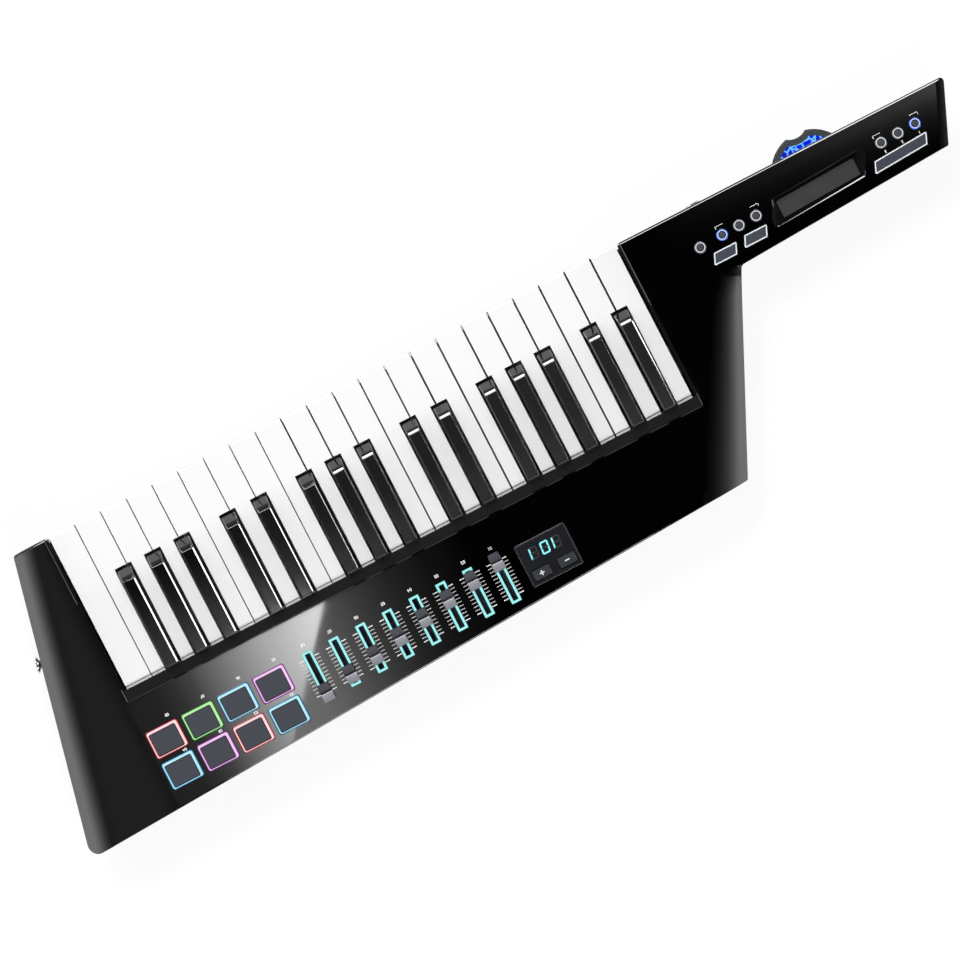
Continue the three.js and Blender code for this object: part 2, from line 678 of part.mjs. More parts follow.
const trayCorners = (() => {
  const x = corner.root.x - neck.overlap;
  const under = side(corner.root, corner.heel, 0);
  const y = corner.root.y + (x - corner.root.x) * under.dir.y / under.dir.x;
  return [{ x, y, r: rounding.heel }, corner.heel, corner.tip, { x, y: 0, r: rounding.heel }];
})();

// The inner faces of a tapered shell.
function hollowed(levels) {
  const [foot, , ...walls] = levels;
  return [
    { z: foot.z + shell.wall, inset: foot.inset + shell.wall / 2 },
    ...walls.map(({ z, inset }) => ({ z: z + shell.wall / 2, inset: inset + shell.wall })),
  ];
}

function rearShell() {
  const outer = tapered(bodyCorners, rearTaper).add(tapered(trayCorners, trayTaper));
  const inner = tapered(bodyCorners, hollowed(rearTaper)).add(tapered(trayCorners, hollowed(trayTaper)));
  const bayBlock = block(
    [bay.left - bay.wall, bayTop - bay.height - bay.wall, 0],
    [bay.left + bay.width + bay.wall, bayTop + bay.wall, bay.depth + bay.wall]);
  const places = bossPlaces().map((at) => ({ ...at, floor: rearFloorAt(at.x) }));
  const bosses = places
    .map(({ x, y, floor }) => drum(x, y, floor + gap, seamZ - gap, screw.boss));
  const heads = places
    .map(({ x, y, floor }) => drum(x, y, floor - overrun, floor + screw.headDepth, screw.head));
  const body = [outer.subtract(inner), tongueRing(), bayBlock, axle(), ...bosses, ...strapSeats()];
  return without(joined(body), [...sillCuts(), ...heads, ...bayCuts(), ...strapHoles()]);
}

// The low sill under the key fronts, and the room for the front shell's walls beside the keys.
function sillCuts() {
  const top = seamZ + shell.tongueRise + overrun;
  const reach = trim.wellGap + shell.wall + gap;
  return [
    block([-trim.wellGap, -keybed.railFront, sillZ], [row + trim.wellGap, overrun, top]),
    block([-reach, -keybed.railFront, seamZ - gap], [row + reach, overrun, top]),
  ];
}

const sillZ = keyTopZ - white.lip - white.dip - gap * 3;
const bayTop = bandTop - bay.top;

// The height of the back of the case, which is higher under the neck.
function rearFloorAt(x) {
  return x > corner.root.x ? seamZ - neck.tray : 0;
}

// The tongue of the rear shell that stands inside the wall of the front shell.
function tongueRing() {
  const face = shell.wall + gap;
  const low = seamZ - shell.tongueRoot;
  const high = seamZ + shell.tongueRise;
  return prism(outline(caseCorners, face), low, high)
    .subtract(prism(outline(caseCorners, face + shell.tongue), low - overrun, high + overrun));
}

// The bay is open at the back; the door lies in a rebate and turns on pins at its upper side.
const doorHinge = { y: bayTop + door.margin - door.thickness / 2 - gap, z: door.thickness / 2 };

function bayCuts() {
  const x = [bay.left, bay.left + bay.width];
  const hollow = block([x[0], bayTop - bay.height, -overrun], [x[1], bayTop, bay.depth]);
  const rebate = block(
    [x[0] - door.margin, bayTop - bay.height - door.margin, -overrun],
    [x[1] + door.margin, bayTop + door.margin, door.thickness + gap]);
  const reach = door.margin + door.pinLength + gap;
  const pinHole = rod(
    x[0] - reach, x[1] + reach, doorHinge.y, doorHinge.z, door.pin + gap, facets.clip);
  return [hollow, rebate, pinHole];
}

function batteryDoor() {
  const left = bay.left - door.margin + gap;
  const right = bay.left + bay.width + door.margin - gap;
  const middle = (left + right) / 2;
  const bottom = bayTop - bay.height - door.margin + gap;
  const plate = block([left, bottom, 0], [right, doorHinge.y, door.thickness]);
  const knuckle = rod(left, right, doorHinge.y, doorHinge.z, door.thickness / 2, facets.hole);
  const pins = rod(
    left - door.pinLength, right + door.pinLength, doorHinge.y, doorHinge.z, door.pin, facets.clip);
  const snapY = bayTop - bay.height + gap + door.tongueSet;
  const tongue = block(
    [middle - door.tongueWidth / 2, snapY, door.thickness - gap],
    [middle + door.tongueWidth / 2, snapY + door.tongueThickness, door.thickness + door.tongueHeight]);
  const grips = Array.from({ length: door.grips }, (_, k) => bottom + door.gripPitch * (k + 1))
    .map((y) => block([middle - door.tongueWidth / 2, y, -overrun],
      [middle + door.tongueWidth / 2, y + door.tongueThickness, door.gripDepth]));
  return without(joined([plate, knuckle, pins, tongue]), grips);
}

// The wheel's plane lies between the neck's tray and its board, and its axle stands in the tray.
const wheelZ = neckBoardZ - wheel.headroom - wheel.thickness;
const wheelX = row + alongNeck(wheel.share);

function axle() {
  const floor = seamZ - neck.tray;
  return drum(wheelX, -wheel.down, floor + gap, wheelZ - gap, wheel.hub)
    .add(drum(wheelX, -wheel.down, floor + gap, wheelZ + wheel.thickness + gap, wheel.pin));
}

// A strap button stands square to the side it is on; its seat fills out the tapered wall.
function strapPlaces() {
  const left = side(corner.cheek, corner.lowerLeft, strap.endInset);
  const at = left.from.clone().addScaledVector(left.dir, strap.endAlong);
  return [
    { x: at.x, y: at.y, z: strap.endZ, turn: Math.atan2(-left.dir.x, left.dir.y) },
    { x: row + strap.neckX, y: -strap.neckInset, z: strap.neckZ, turn: Math.PI / 2 },
  ];
}

function outwards(place, from, to, radius) {
  const geometry = new THREE.CylinderGeometry(radius, radius, to - from, facets.hole);
  geometry.rotateZ(-Math.PI / 2).translate((from + to) / 2, 0, 0);
  return solid(geometry.rotateZ(place.turn).translate(place.x, place.y, place.z));
}

function strapSeats() {
  return strapPlaces().map((place) => outwards(place, -strap.pegLength - gap, 0, strap.seat));
}

// A spot face on each seat, and the hole for the button's peg.
function strapHoles() {
  return strapPlaces().map((place) => outwards(place, -strap.pegLength, overrun, strap.peg + gap)
    .add(outwards(place, 0, strap.length, strap.seat)));
}

function strapButton() {
  const profile = [
    [0, -strap.pegLength + gap], [strap.peg, -strap.pegLength + gap], [strap.peg, gap], [strap.foot, gap],
    [strap.foot, strap.footThickness / 2], [strap.waist, strap.footThickness * 2],
    [strap.waist, strap.length - strap.headThickness * 2],
    [strap.head, strap.length - strap.headThickness],
    [strap.head, strap.length - strap.headThickness / 2],
    [strap.head - strap.footThickness, strap.length], [0, strap.length],
  ].map(([r, h]) => new THREE.Vector2(r, h));
  return solid(new THREE.LatheGeometry(profile, facets.hole).rotateZ(-Math.PI / 2));
}

// The pads and the boards.

function padMat() {
  const top = underZ - gap;
  const low = top - pad.sheet;
  const places = padMiddles();
  const last = places[places.length - 1];
  const sheet = block(
    [places[0].x - pad.skirtWidth / 2 - pad.margin, last.y - pad.skirtDepth / 2 - pad.margin, low],
    [last.x + pad.skirtWidth / 2 + pad.margin, places[0].y + pad.skirtDepth / 2 + pad.margin, top]);
  const skirts = places.map((at) => prism(padOutline(at, gap), low, panelZ));
  const pads = places.map((at) => tapered(
    leaning({ ...at, width: pad.width, depth: pad.depth, round: pad.round }),
    [{ z: low, inset: 0 }, { z: panelZ + pad.proud - pad.crown, inset: 0 },
      { z: panelZ + pad.proud, inset: pad.crown }], facets.small));
  return joined([sheet, ...skirts, ...pads]);
}

function switchBlock(x, y, z) {
  const half = button.switchSize / 2;
  return block([x - half, y - half, z], [x + half, y + half, z + button.switchHeight]);
}

function mainCircuit() {
  const top = boardZ + board.thickness;
  const reach = block(
    [mainBoard.left, corner.lowerLeft.y, boardZ], [mainBoard.right, bandTop - mainBoard.top, top]);
  const plate = prism(outline(caseCorners, shell.wall * 2 + board.margin), boardZ, top).intersect(reach);
  const pots = Array.from({ length: fader.count }, (_, k) => slidePot(faderX(k), top));
  const module = digitBlock(top, underZ - gap);
  const switches = [program.plusX, program.minusX].map((x) => switchBlock(x, programY, top));
  return joined([plate, ...pots, module, ...switches, padPlate(top), usbSocket(), jackSocket()]);
}

function slidePot(x, z) {
  const pot = block(
    [x - fader.potWidth / 2, faderY - fader.potLength / 2, z],
    [x + fader.potWidth / 2, faderY + fader.potLength / 2, z + fader.potHeight]);
  return pot.subtract(block(
    [x - fader.potSlot / 2, faderY - fader.slotLength / 2, z + board.thickness],
    [x + fader.potSlot / 2, faderY + fader.slotLength / 2, z + fader.potHeight + overrun]));
}

// The sensor plate under the pads, on spacers.
function padPlate(z) {
  const high = underZ - gap * 2 - pad.sheet;
  const places = padMiddles();
  const last = places[places.length - 1];
  const plate = block(
    [places[0].x - pad.width / 2, last.y - pad.depth / 2, high - board.thickness],
    [last.x + pad.width / 2, places[0].y + pad.depth / 2, high]);
  const spacers = [places[0], places[pad.columns - 1], places[pad.columns], last]
    .map(({ x, y }) => drum(x, y, z - gap, high, board.post));
  return joined([plate, ...spacers]);
}

function usbSocket() {
  const face = lowerWall(usb.x, shell.wall) + gap * 2;
  const can = block(
    [usb.x - usb.width / 2, face, boardZ - usb.height],
    [usb.x + usb.width / 2, face + usb.length, boardZ + gap]);
  return can.subtract(block(
    [usb.x - usb.mouthWidth / 2, face - overrun, boardZ - (usb.height + usb.mouthHeight) / 2],
    [usb.x + usb.mouthWidth / 2, face + usb.bore, boardZ - (usb.height - usb.mouthHeight) / 2]));
}

function jackSocket() {
  const face = lowerWall(jack.x, shell.wall) + gap * 2;
  const z = boardZ - jack.height / 2;
  const can = block(
    [jack.x - jack.width / 2, face, boardZ - jack.height],
    [jack.x + jack.width / 2, face + jack.length, boardZ + gap]);
  const nose = alongY(jack.x, z, face - shell.wall, face + gap, jack.nose, facets.hole);
  return can.add(nose).subtract(
    alongY(jack.x, z, face - shell.wall - overrun, face + jack.depth - shell.wall, jack.bore, facets.hole));
}

function neckCircuit() {
  const top = neckBoardZ + board.thickness;
  const reach = block(
    [row + alongNeck(neckBoard.leftShare), corner.root.y + shell.wall, neckBoardZ],
    [row + alongNeck(neckBoard.rightShare), 0, top]);
  const clear = shell.wall + board.margin + screw.boss;
  const plate = prism(outline(caseCorners, clear), neckBoardZ, top).intersect(reach);
  const knobs = knobMiddles.map(({ x, y }) => knobCap(x, y, top));
  const places = [...octaveCorners, sustainCorners].map(middleOf);
  const switches = places.map(({ x, y }) => switchBlock(x, y, top));
  return joined([plate, ...knobs, ...switches]);
}

function knobCap(x, y, low) {
  const high = panelZ + knob.proud;
  const profile = [
    [0, low - gap], [knob.radius, low - gap], [knob.radius, high - button.chamfer],
    [knob.radius - button.chamfer, high], [0, high],
  ].map(([r, z]) => new THREE.Vector2(r, z));
  const geometry = new THREE.LatheGeometry(profile, facets.hole);
  return solid(geometry.rotateX(Math.PI / 2).translate(x, y, 0));
}

function middleOf(corners) {
  const sum = corners.reduce((at, p) => ({ x: at.x + p.x, y: at.y + p.y }), { x: 0, y: 0 });
  return { x: sum.x / corners.length, y: sum.y / corners.length };
}

// A push button: cap with a chamfered top, a flange that the panel holds in, and a stem.
function pushButton(corners, boardTop) {
  const { x, y } = middleOf(corners);
  const high = panelZ + button.proud;
  const flangeTop = underZ - gap;
  const cap = tapered(corners, [
    { z: flangeTop - button.flangeThickness, inset: 0 }, { z: high - button.chamfer, inset: 0 },
    { z: high, inset: button.chamfer }], facets.small);
  const flange = prism(
    outline(corners, -button.flange, facets.small), flangeTop - button.flangeThickness, flangeTop);
  const foot = boardTop + button.switchHeight + button.travel + gap;
  const stem = drum(x, y, foot, flangeTop, button.stem);
  return joined([cap, flange, stem]);
}

// A fader: grip with a raised middle ridge, and the lever that reaches into its slide pot.
function faderCap(index) {
  const half = fader.capLength / 2;
  const low = panelZ + fader.lift;
  const high = low + fader.capRise;
  const ridge = fader.capRise / 8;
  const profile = [
    [-half, low], [half, low], [half - ridge, high - ridge * 2], [half - ridge * 2, high - ridge],
    [ridge * 2, high - ridge * 3], [ridge, high - ridge], [-ridge, high - ridge],
    [-ridge * 2, high - ridge * 3], [-half + ridge * 2, high - ridge], [-half + ridge, high - ridge * 2],
  ].map(([y, z]) => new THREE.Vector2(y, z));
  const grip = bar(profile, -fader.capWidth / 2, fader.capWidth / 2);
  const lever = block(
    [-fader.leverWidth / 2, -fader.leverLength / 2, boardZ + board.thickness * 2 + gap],
    [fader.leverWidth / 2, fader.leverLength / 2, low + gap]);
  const share = (fader.count - 1 - index) / (fader.count - 1) - 1 / 2;
  return { body: grip.add(lever), place: [faderX(index), faderY - fader.travel * share, 0] };
}

// The pitch wheel: rim with a finger notch, hub, and a thin web with spokes.
function pitchWheel() {
  const { radius, thickness, rim, web, hub, edge } = wheel;
  const bore = wheel.pin + gap;
  const sunk = (thickness - web) / 2;
  const half = [
    [bore, 0], [hub, 0], [hub, sunk], [radius - rim, sunk], [radius - rim, 0], [radius - edge, 0],
    [radius, edge],
  ];
  const loop = [...half, ...half.toReversed().map(([r, z]) => [r, thickness - z])];
  const profile = [...loop, loop[0]].map(([r, z]) => new THREE.Vector2(r, z));
  const turned = solid(new THREE.LatheGeometry(profile, facets.wheel).rotateX(Math.PI / 2));
  const spokes = Array.from({ length: wheel.spokes }, (_, k) => {
    const geometry = new THREE.BoxGeometry(radius - rim - hub + edge, wheel.spoke, thickness - sunk);
    geometry.translate((radius - rim + hub) / 2, 0, thickness / 2);
    return solid(geometry.rotateZ(Math.PI * 2 * (k + 1 / 2) / wheel.spokes));
  });
  const notch = drum(0, radius - wheel.notchDepth + wheel.notchRadius, -overrun, thickness + overrun,
    wheel.notchRadius, facets.wheel);
  return joined([turned, ...spokes]).subtract(notch);
}

// The keybed: one profile for tray, rails and contact strip, with a guide post in every key and
// a comb that holds the hinge rod between the key tails.
function chassis() {
  const floor = shell.wall + gap;
  const deck = floor + keybed.wall;
  const [left, right] = [-keybed.side, row + keybed.side];
  const angle = Math.asin(white.dip / hingeReach);
  const railZ = keyTopZ - white.lip - Math.sin(angle) * (hingeReach - keybed.railFront) - gap;
  const back = hingeReach + keybed.combBack;
  const path = [
    [keybed.toe, floor], [keybed.railFront, railZ], [keybed.railBack, railZ],
    [keybed.railBack, deck], [keybed.stepFront, deck], [keybed.stepFront, keybed.stepHeight],
    [keybed.stepBack, keybed.stepHeight], [keybed.stepBack, deck], [keybed.contactFront, deck],
    [keybed.contactFront, keybed.contactHeight], [keybed.contactBack, keybed.contactHeight],
    [keybed.contactBack, deck], [back, deck], [back, hingeZ],
  ].map(([y, z]) => new THREE.Vector2(-y, z));
  const postZ = keyTopZ - white.skin - white.dip - gap * 3;
  const posts = Array.from({ length: white.count }, (_, k) => guidePost(
    (k + 1 / 2) * white.pitch, keybed.postSet, railZ - gap, postZ));
  const stepMiddle = (keybed.stepFront + keybed.stepBack - keybed.postDepth) / 2;
  const blackPosts = blackMiddles.map((x) => guidePost(
    x, stepMiddle, keybed.stepHeight - gap, hingeZ + keybed.engage));
  const sheet = bar(folded(path, keybed.wall), left, right);
  const axis = rod(left, right, -hingeReach, hingeZ, hinge.radius, facets.rod);
  return joined([sheet, ...posts, ...blackPosts, ...combs(floor + gap), axis]);
}

// The section of a folded sheet whose upper face follows a path.
function folded(path, thickness) {
  const face = (inset) => {
    const sides = path.slice(1).map((to, k) => side(path[k], to, inset));
    const inner = sides.slice(1).map((next, k) => meet(sides[k], next));
    const last = sides[sides.length - 1];
    const reach = path[path.length - 1].distanceTo(path[path.length - 2]);
    return [sides[0].from, ...inner, last.from.clone().addScaledVector(last.dir, reach)];
  };
  return [...face(0), ...face(thickness).toReversed()];
}

function guidePost(x, front, low, high) {
  return block(
    [x - keybed.post / 2, -front - keybed.postDepth, low], [x + keybed.post / 2, -front, high]);
}

// The ribs of the comb stand midway between key tails, one after every second key.
function combs(low) {
  const tails = [...whiteKeys.map(({ tail }) => tail), ...blackMiddles].sort((a, b) => a - b);
  const between = tails.slice(1).map((x, k) => (x + tails[k]) / 2).filter((_, k) => k % 2);
  const ends = [-keybed.side + keybed.comb / 2, row + keybed.side - keybed.comb / 2];
  const front = -hingeReach + keybed.combFront;
  const back = -hingeReach - keybed.combBack - gap;
  return [...between, ...ends].map((x) => block(
    [x - keybed.comb / 2, back, low], [x + keybed.comb / 2, front, hingeZ + hinge.radius + gap]));
}

// The whole keytar.

const whiteKeys = Array.from({ length: white.count }, (_, k) => whiteKey(k));

function numbered(name, number) {
  return `${name}_${String(number).padStart(2, '0')}`;
}

function keys() {
  const sharps = blackKey();
  return [
    ...whiteKeys.map(({ body, middle }, k) => piece(
      numbered('white_key', white.count - k), body, 'keyWhite', [middle, 0, 0])),
    ...blackMiddles.map((x, k) => piece(numbered('black_key', k + 1), sharps, 'keyBlack', [x, 0, 0])),
  ];
}

function faders() {
  return Array.from({ length: fader.count }, (_, k) => {
    const { body, place } = faderCap(k);
    return piece(numbered('fader', fader.count - k), body, 'capGrey', place);
  });
}

function strapButtons() {
  const names = ['strap_button_end', 'strap_button_neck'];
  const body = strapButton();
  return strapPlaces().map(({ x, y, z, turn }, k) => {
    const mesh = piece(names[k], body, 'chrome', [x, y, z]);
    mesh.rotation.z = turn;
    return mesh;
  });
}

function buttons() {
  const mainTop = boardZ + board.thickness;
  const neckTop = neckBoardZ + board.thickness;
  return [
    piece('octave_up_button', pushButton(octaveCorners[0], neckTop), 'silicone'),
    piece('octave_down_button', pushButton(octaveCorners[1], neckTop), 'silicone'),
    piece('sustain_button', pushButton(sustainCorners, neckTop), 'silicone'),
    piece('program_plus_button', pushButton(programCorners[0], mainTop), 'silicone'),
    piece('program_minus_button', pushButton(programCorners[1], mainTop), 'silicone'),
  ];
}

const keytar = new THREE.Group();
keytar.add(
  piece('front_housing', frontShell(), 'glossBlack'),
  piece('rear_housing', rearShell(), 'satinBlack'),
  piece('keybed_chassis', chassis(), 'chassisGrey'),
  piece('main_board', mainCircuit(), 'boardGreen'),
  piece('neck_board', neckCircuit(), 'boardGreen'),
  piece('pad_mat', padMat(), 'silicone'),
  piece('battery_door', batteryDoor(), 'satinBlack'),
  piece('pitch_wheel', pitchWheel(), 'wheelBlue', [wheelX, -wheel.down, wheelZ]),
  ...strapButtons(),
  ...buttons(),
  ...faders(),
  ...keys(),
);

// The origin lies on the back of the case, under the middle of the visible keys.
keytar.position.set(-row / 2, white.reach / 2, 0);

export default keytar;
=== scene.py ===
# %% [markdown]
# # A keytar with full-size keys, lying on its back
#
# The real object is a keyboard that hangs from a strap like a guitar: a long case of polished
# black ABS, 37 sprung keys, a band with pads, faders and a display below them, and a short neck
# with a touch ribbon, buttons and a pitch wheel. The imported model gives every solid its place, so
# this lesson starts by loading it, and then dresses or replaces its pieces one by one.

import bpy
import bmesh
import numpy as np
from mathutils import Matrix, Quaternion, Vector


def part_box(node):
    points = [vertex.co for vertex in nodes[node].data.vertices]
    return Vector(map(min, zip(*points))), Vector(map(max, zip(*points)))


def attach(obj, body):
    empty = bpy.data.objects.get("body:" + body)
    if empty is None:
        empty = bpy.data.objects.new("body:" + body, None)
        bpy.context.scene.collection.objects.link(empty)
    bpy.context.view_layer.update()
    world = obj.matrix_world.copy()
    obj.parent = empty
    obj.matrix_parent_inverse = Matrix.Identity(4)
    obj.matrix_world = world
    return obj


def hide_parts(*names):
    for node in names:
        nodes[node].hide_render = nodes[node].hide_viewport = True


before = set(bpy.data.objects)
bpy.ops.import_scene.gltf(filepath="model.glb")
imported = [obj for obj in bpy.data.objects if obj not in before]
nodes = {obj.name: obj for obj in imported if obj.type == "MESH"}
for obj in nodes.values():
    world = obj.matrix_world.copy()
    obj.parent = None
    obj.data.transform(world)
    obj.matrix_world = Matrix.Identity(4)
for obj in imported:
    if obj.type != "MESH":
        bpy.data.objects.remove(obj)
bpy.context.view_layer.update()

# %% [markdown]
# The drawing is easiest to read in millimetres along the key row: x = 0 at the left end of the
# keys, y = 0 at their fronts, and z up from the back of the case. One shift and one scale take
# such points into the model's frame, so every shape below is written in row millimetres.

# %% From row millimetres to the model's frame
MM = 0.001
ROW_ORIGIN = np.array([-258.5, 69.65, 0.0])


def in_frame(points):
    """(point + origin of the row) times 0.001: row millimetres become metres in the model's frame."""
    return (np.asarray(points, float) + ROW_ORIGIN) * MM


# %% [markdown]
# The photograph looks straight down on the panel from about 2.6 m, with the key row turned 27.3
# degrees. A long lens from that distance keeps the keys parallel, as in the picture. The camera
# comes first, because everything after it is judged through it.

# %% The camera
CAMERA_HEIGHT, VIEW_WIDTH, SENSOR = 2.6, 0.7782, 36.0
TURN, AIM, KEY_TOP = np.radians(-27.3), (0.0740, -0.0495), 53.0


def placed(name, data):
    """A new object in the scene that holds the data."""
    item = bpy.data.objects.new(name, data)
    bpy.context.scene.collection.objects.link(item)
    return item


lens = bpy.data.cameras.new("camera")
lens.sensor_width = SENSOR
lens.lens = SENSOR * CAMERA_HEIGHT / VIEW_WIDTH
lens.clip_end = 50.0
camera = placed("camera", lens)
camera.location = (*AIM, CAMERA_HEIGHT + KEY_TOP * MM)
camera.rotation_euler = (0.0, 0.0, TURN)
bpy.context.scene.camera = camera
bpy.context.scene.view_settings.view_transform = "Standard"
print("lens", round(lens.lens, 1), "mm")

# %% [markdown]
# Colours are written as the hex values that a paint program shows, and Blender mixes light in
# linear values, so one function turns the first into the second. Node trees are built by one
# other function, which adds a node, sets its settings and feeds its inputs.

# %% Colours and nodes


def linear(code):
    """Each sRGB channel c becomes c / 12.92 below 0.04045, or ((c + 0.055) / 1.055) ** 2.4."""
    c = np.array([int(code[k:k + 2], 16) for k in (1, 3, 5)]) / 255
    return (*np.where(c <= 0.04045, c / 12.92, ((c + 0.055) / 1.055) ** 2.4), 1.0)


def add(tree, kind, settings=None, feeds=None, output=0):
    """Adds a node and returns one output. kind is its type without the leading ShaderNode.
    settings are its properties, or a ramp's stops, each a place from 0 to 1 and a colour; feeds
    are its inputs, by name or number, each taking a plain value or another node's output."""
    node = tree.nodes.new("ShaderNode" + kind)
    for key, value in (settings or {}).items():
        if key != "stops":
            setattr(node, key, value)
            continue
        elements = node.color_ramp.elements
        while len(elements) < len(value):
            elements.new(0.5)
        for element, (place, colour) in zip(elements, value):
            element.position, element.color = place, colour
    for key, value in (feeds or {}).items():
        if isinstance(value, bpy.types.NodeSocket):
            tree.links.new(value, node.inputs[key])
        else:
            node.inputs[key].default_value = value
    return node.outputs[output]


def grey(value):
    """A linear grey as a colour."""
    return (value, value, value, 1.0)


# %% [markdown]
# A polished black panel shows the room more than it shows itself. The photographer kept the
# ceiling dark, so the panel is black, and lit two panels beyond the ends of the case, so that the
# rolled ends turn grey. The world does the same: two bright patches low on both sides, dim walls
# elsewhere, and a faint grey to the left of the zenith. It is painted by direction alone, so it is
# the same room from every side.

# %% The room
ROOM_LEVEL, DULL_SHARE = 3.0, 0.2
world = bpy.data.worlds.new("room")
bpy.context.scene.world = world
world.use_nodes = True
tree = world.node_tree
direction = add(tree, "TexCoord", output="Generated")
height = add(tree, "SeparateXYZ", feeds={"Vector": direction}, output="Z")


def shares(*stops):
    """The stops of a ramp of greys, given in shares of the room's level."""
    return {"stops": [(place, grey(value / ROOM_LEVEL)) for place, value in stops]}


# The line through both patches lies 17 degrees off the row. A direction leans along that line, beside
# it and along the row by dot products. Of its level part, squared, the share along the line is 1 at
# a patch's middle and falls with the angle from it.
PATCH = np.radians(-17.3)
cos, sin = np.cos(PATCH), np.sin(PATCH)
leans = [add(tree, "VectorMath", {"operation": "DOT_PRODUCT"}, {0: direction, 1: axis}, "Value")
         for axis in ((cos, sin, 0.0), (-sin, cos, 0.0), (1.0, 0.0, 0.0))]
toward, beside = [add(tree, "Math", {"operation": "MULTIPLY"}, {0: one, 1: one}) for one in leans[:2]]
both = add(tree, "Math", {"operation": "ADD"}, {0: toward, 1: beside})
share = add(tree, "Math", {"operation": "DIVIDE"}, {0: toward, 1: both})
patch = add(tree, "MapRange", {"interpolation_type": "SMOOTHSTEP"}, {
    "Value": share, "From Min": 0.83, "From Max": 0.97})
patches = add(tree, "ValToRGB", shares(
    (0.0, 2.4), (0.1, 2.75), (0.2, 2.95), (0.39, 2.75), (0.5, 2.45), (0.6, 1.85), (0.67, 1.5),
    (0.75, 1.0), (0.82, 0.62), (0.885, 0.33), (0.94, 0.13), (0.975, 0.05), (0.993, 0.0)), {"Fac": height})
walls = add(tree, "ValToRGB", shares(
    (0.0, 0.95), (0.30, 0.35), (0.62, 0.12), (0.88, 0.04), (0.965, 0.0)), {"Fac": height})
walls = add(tree, "Mix", {"data_type": "RGBA"}, {0: patch, 6: walls, 7: patches}, 2)
sideways = add(tree, "Math", {"operation": "ADD"}, {0: leans[2], 1: 0.5})
haze = add(tree, "ValToRGB", shares((0.30, 0.26), (0.367, 0.30), (0.375, 0.0)), {"Fac": sideways})
room = add(tree, "Mix", {"data_type": "RGBA", "blend_type": "LIGHTEN"}, {0: 1.0, 6: walls, 7: haze}, 2)
# Mirror images see the room at its full level. Its light on dull surfaces is held back, so that most
# light comes from the softboxes, which stand where the black keys don't shade the white ones.
dull = add(tree, "LightPath", output="Is Diffuse Ray")
strength = add(tree, "MapRange", feeds={
    "Value": dull, "To Min": ROOM_LEVEL, "To Max": ROOM_LEVEL * DULL_SHARE})
tree.links.new(strength, tree.nodes["Background"].inputs["Strength"])
tree.links.new(room, tree.nodes["Background"].inputs["Color"])
print("room", ROOM_LEVEL)

# %% [markdown]
# Softboxes light the case at a plain level. Two stand across the row, where no black key shades
# the white ones; narrow strips past the key fronts and past the right end draw the bright lines
# along edges. None stands near the zenith, where the panel would mirror it. Their power follows
# from the level wanted on a white surface that faces up.

# %% The softboxes
LAMPS = [
    # name, place in metres, width, height, share of the light on a surface that faces up, slant
    ("band_softbox", (-0.05, -1.9, 2.3), 0.9, 0.9, 0.345),
    ("front_softbox", (-0.05, 1.7, 2.5), 1.0, 0.7, 0.30),
    ("front_strip", (0.85, 2.4, 1.5), 2.0, 0.17, 0.15),
    ("cheek_strip", (-1.42, 2.4, 1.29), 1.75, 0.24, 0.15, -15.0),
    ("end_strip", (3.2, 0.03, 0.30), 0.60, 0.36, 0.020),
]


def softbox(name, place, width, height, level, slant=0.0):
    """power = level * pi^2 * distance^2 / sine of the elevation, for a lamp that faces the case
    squarely: from its end, if it stands further along the row than across it, else from across."""
    lamp = bpy.data.lights.new(name, "AREA")
    lamp.shape, lamp.size, lamp.size_y = "RECTANGLE", width, height
    x, y, z = place
    facing = Vector((x, 0.0, z) if abs(x) > abs(y) else (0.0, y, z))
    lamp.energy = float(level * np.pi ** 2 * facing.length ** 3 / z)
    item = placed(name, lamp)
    item.location = place
    turn = facing.to_track_quat("Z", "Y") @ Quaternion((0, 0, 1), np.radians(slant))
    item.rotation_euler = turn.to_euler()
    item.visible_camera = False
    print(name, round(lamp.energy, 1), "W")


for entry in LAMPS:
    softbox(*entry)

# %% [markdown]
# Flat and closed shapes share a few helpers. A shape is a pair of arrays, its points and its
# faces. A stack of rings, each with equally many points, becomes a skin; an outline with rounded
# corners gives the rings of every plate, button, pad and shell.

# %% Rings, skins and outlines


def skin(rings, loop=False, caps=True):
    """Quads between neighbouring rings of equally many points. Quad (i, j) joins point j and j + 1
    of ring i to those of ring i + 1. The ends are closed by caps, or by joining them in a loop."""
    rings = np.asarray(rings, float)
    count, size = rings.shape[:2]
    i, j = np.meshgrid(np.arange(count if loop else count - 1), np.arange(size), indexing="ij")
    k, l = (j + 1) % size, (i + 1) % count
    faces = np.stack([i * size + j, i * size + k, l * size + k, l * size + j], axis=-1)
    faces = faces.reshape(-1, 4).tolist()
    if caps and not loop:
        faces += [list(range(size))[::-1], list(range((count - 1) * size, count * size))]
    return rings.reshape(-1, 3), faces


def join(shapes):
    """One shape from several: each one's face numbers are raised by the points before it."""
    points, faces, start = [], [], 0
    for some, their in shapes:
        points.append(some)
        faces += [[start + n for n in face] for face in their]
        start += len(some)
    return np.concatenate(points), faces


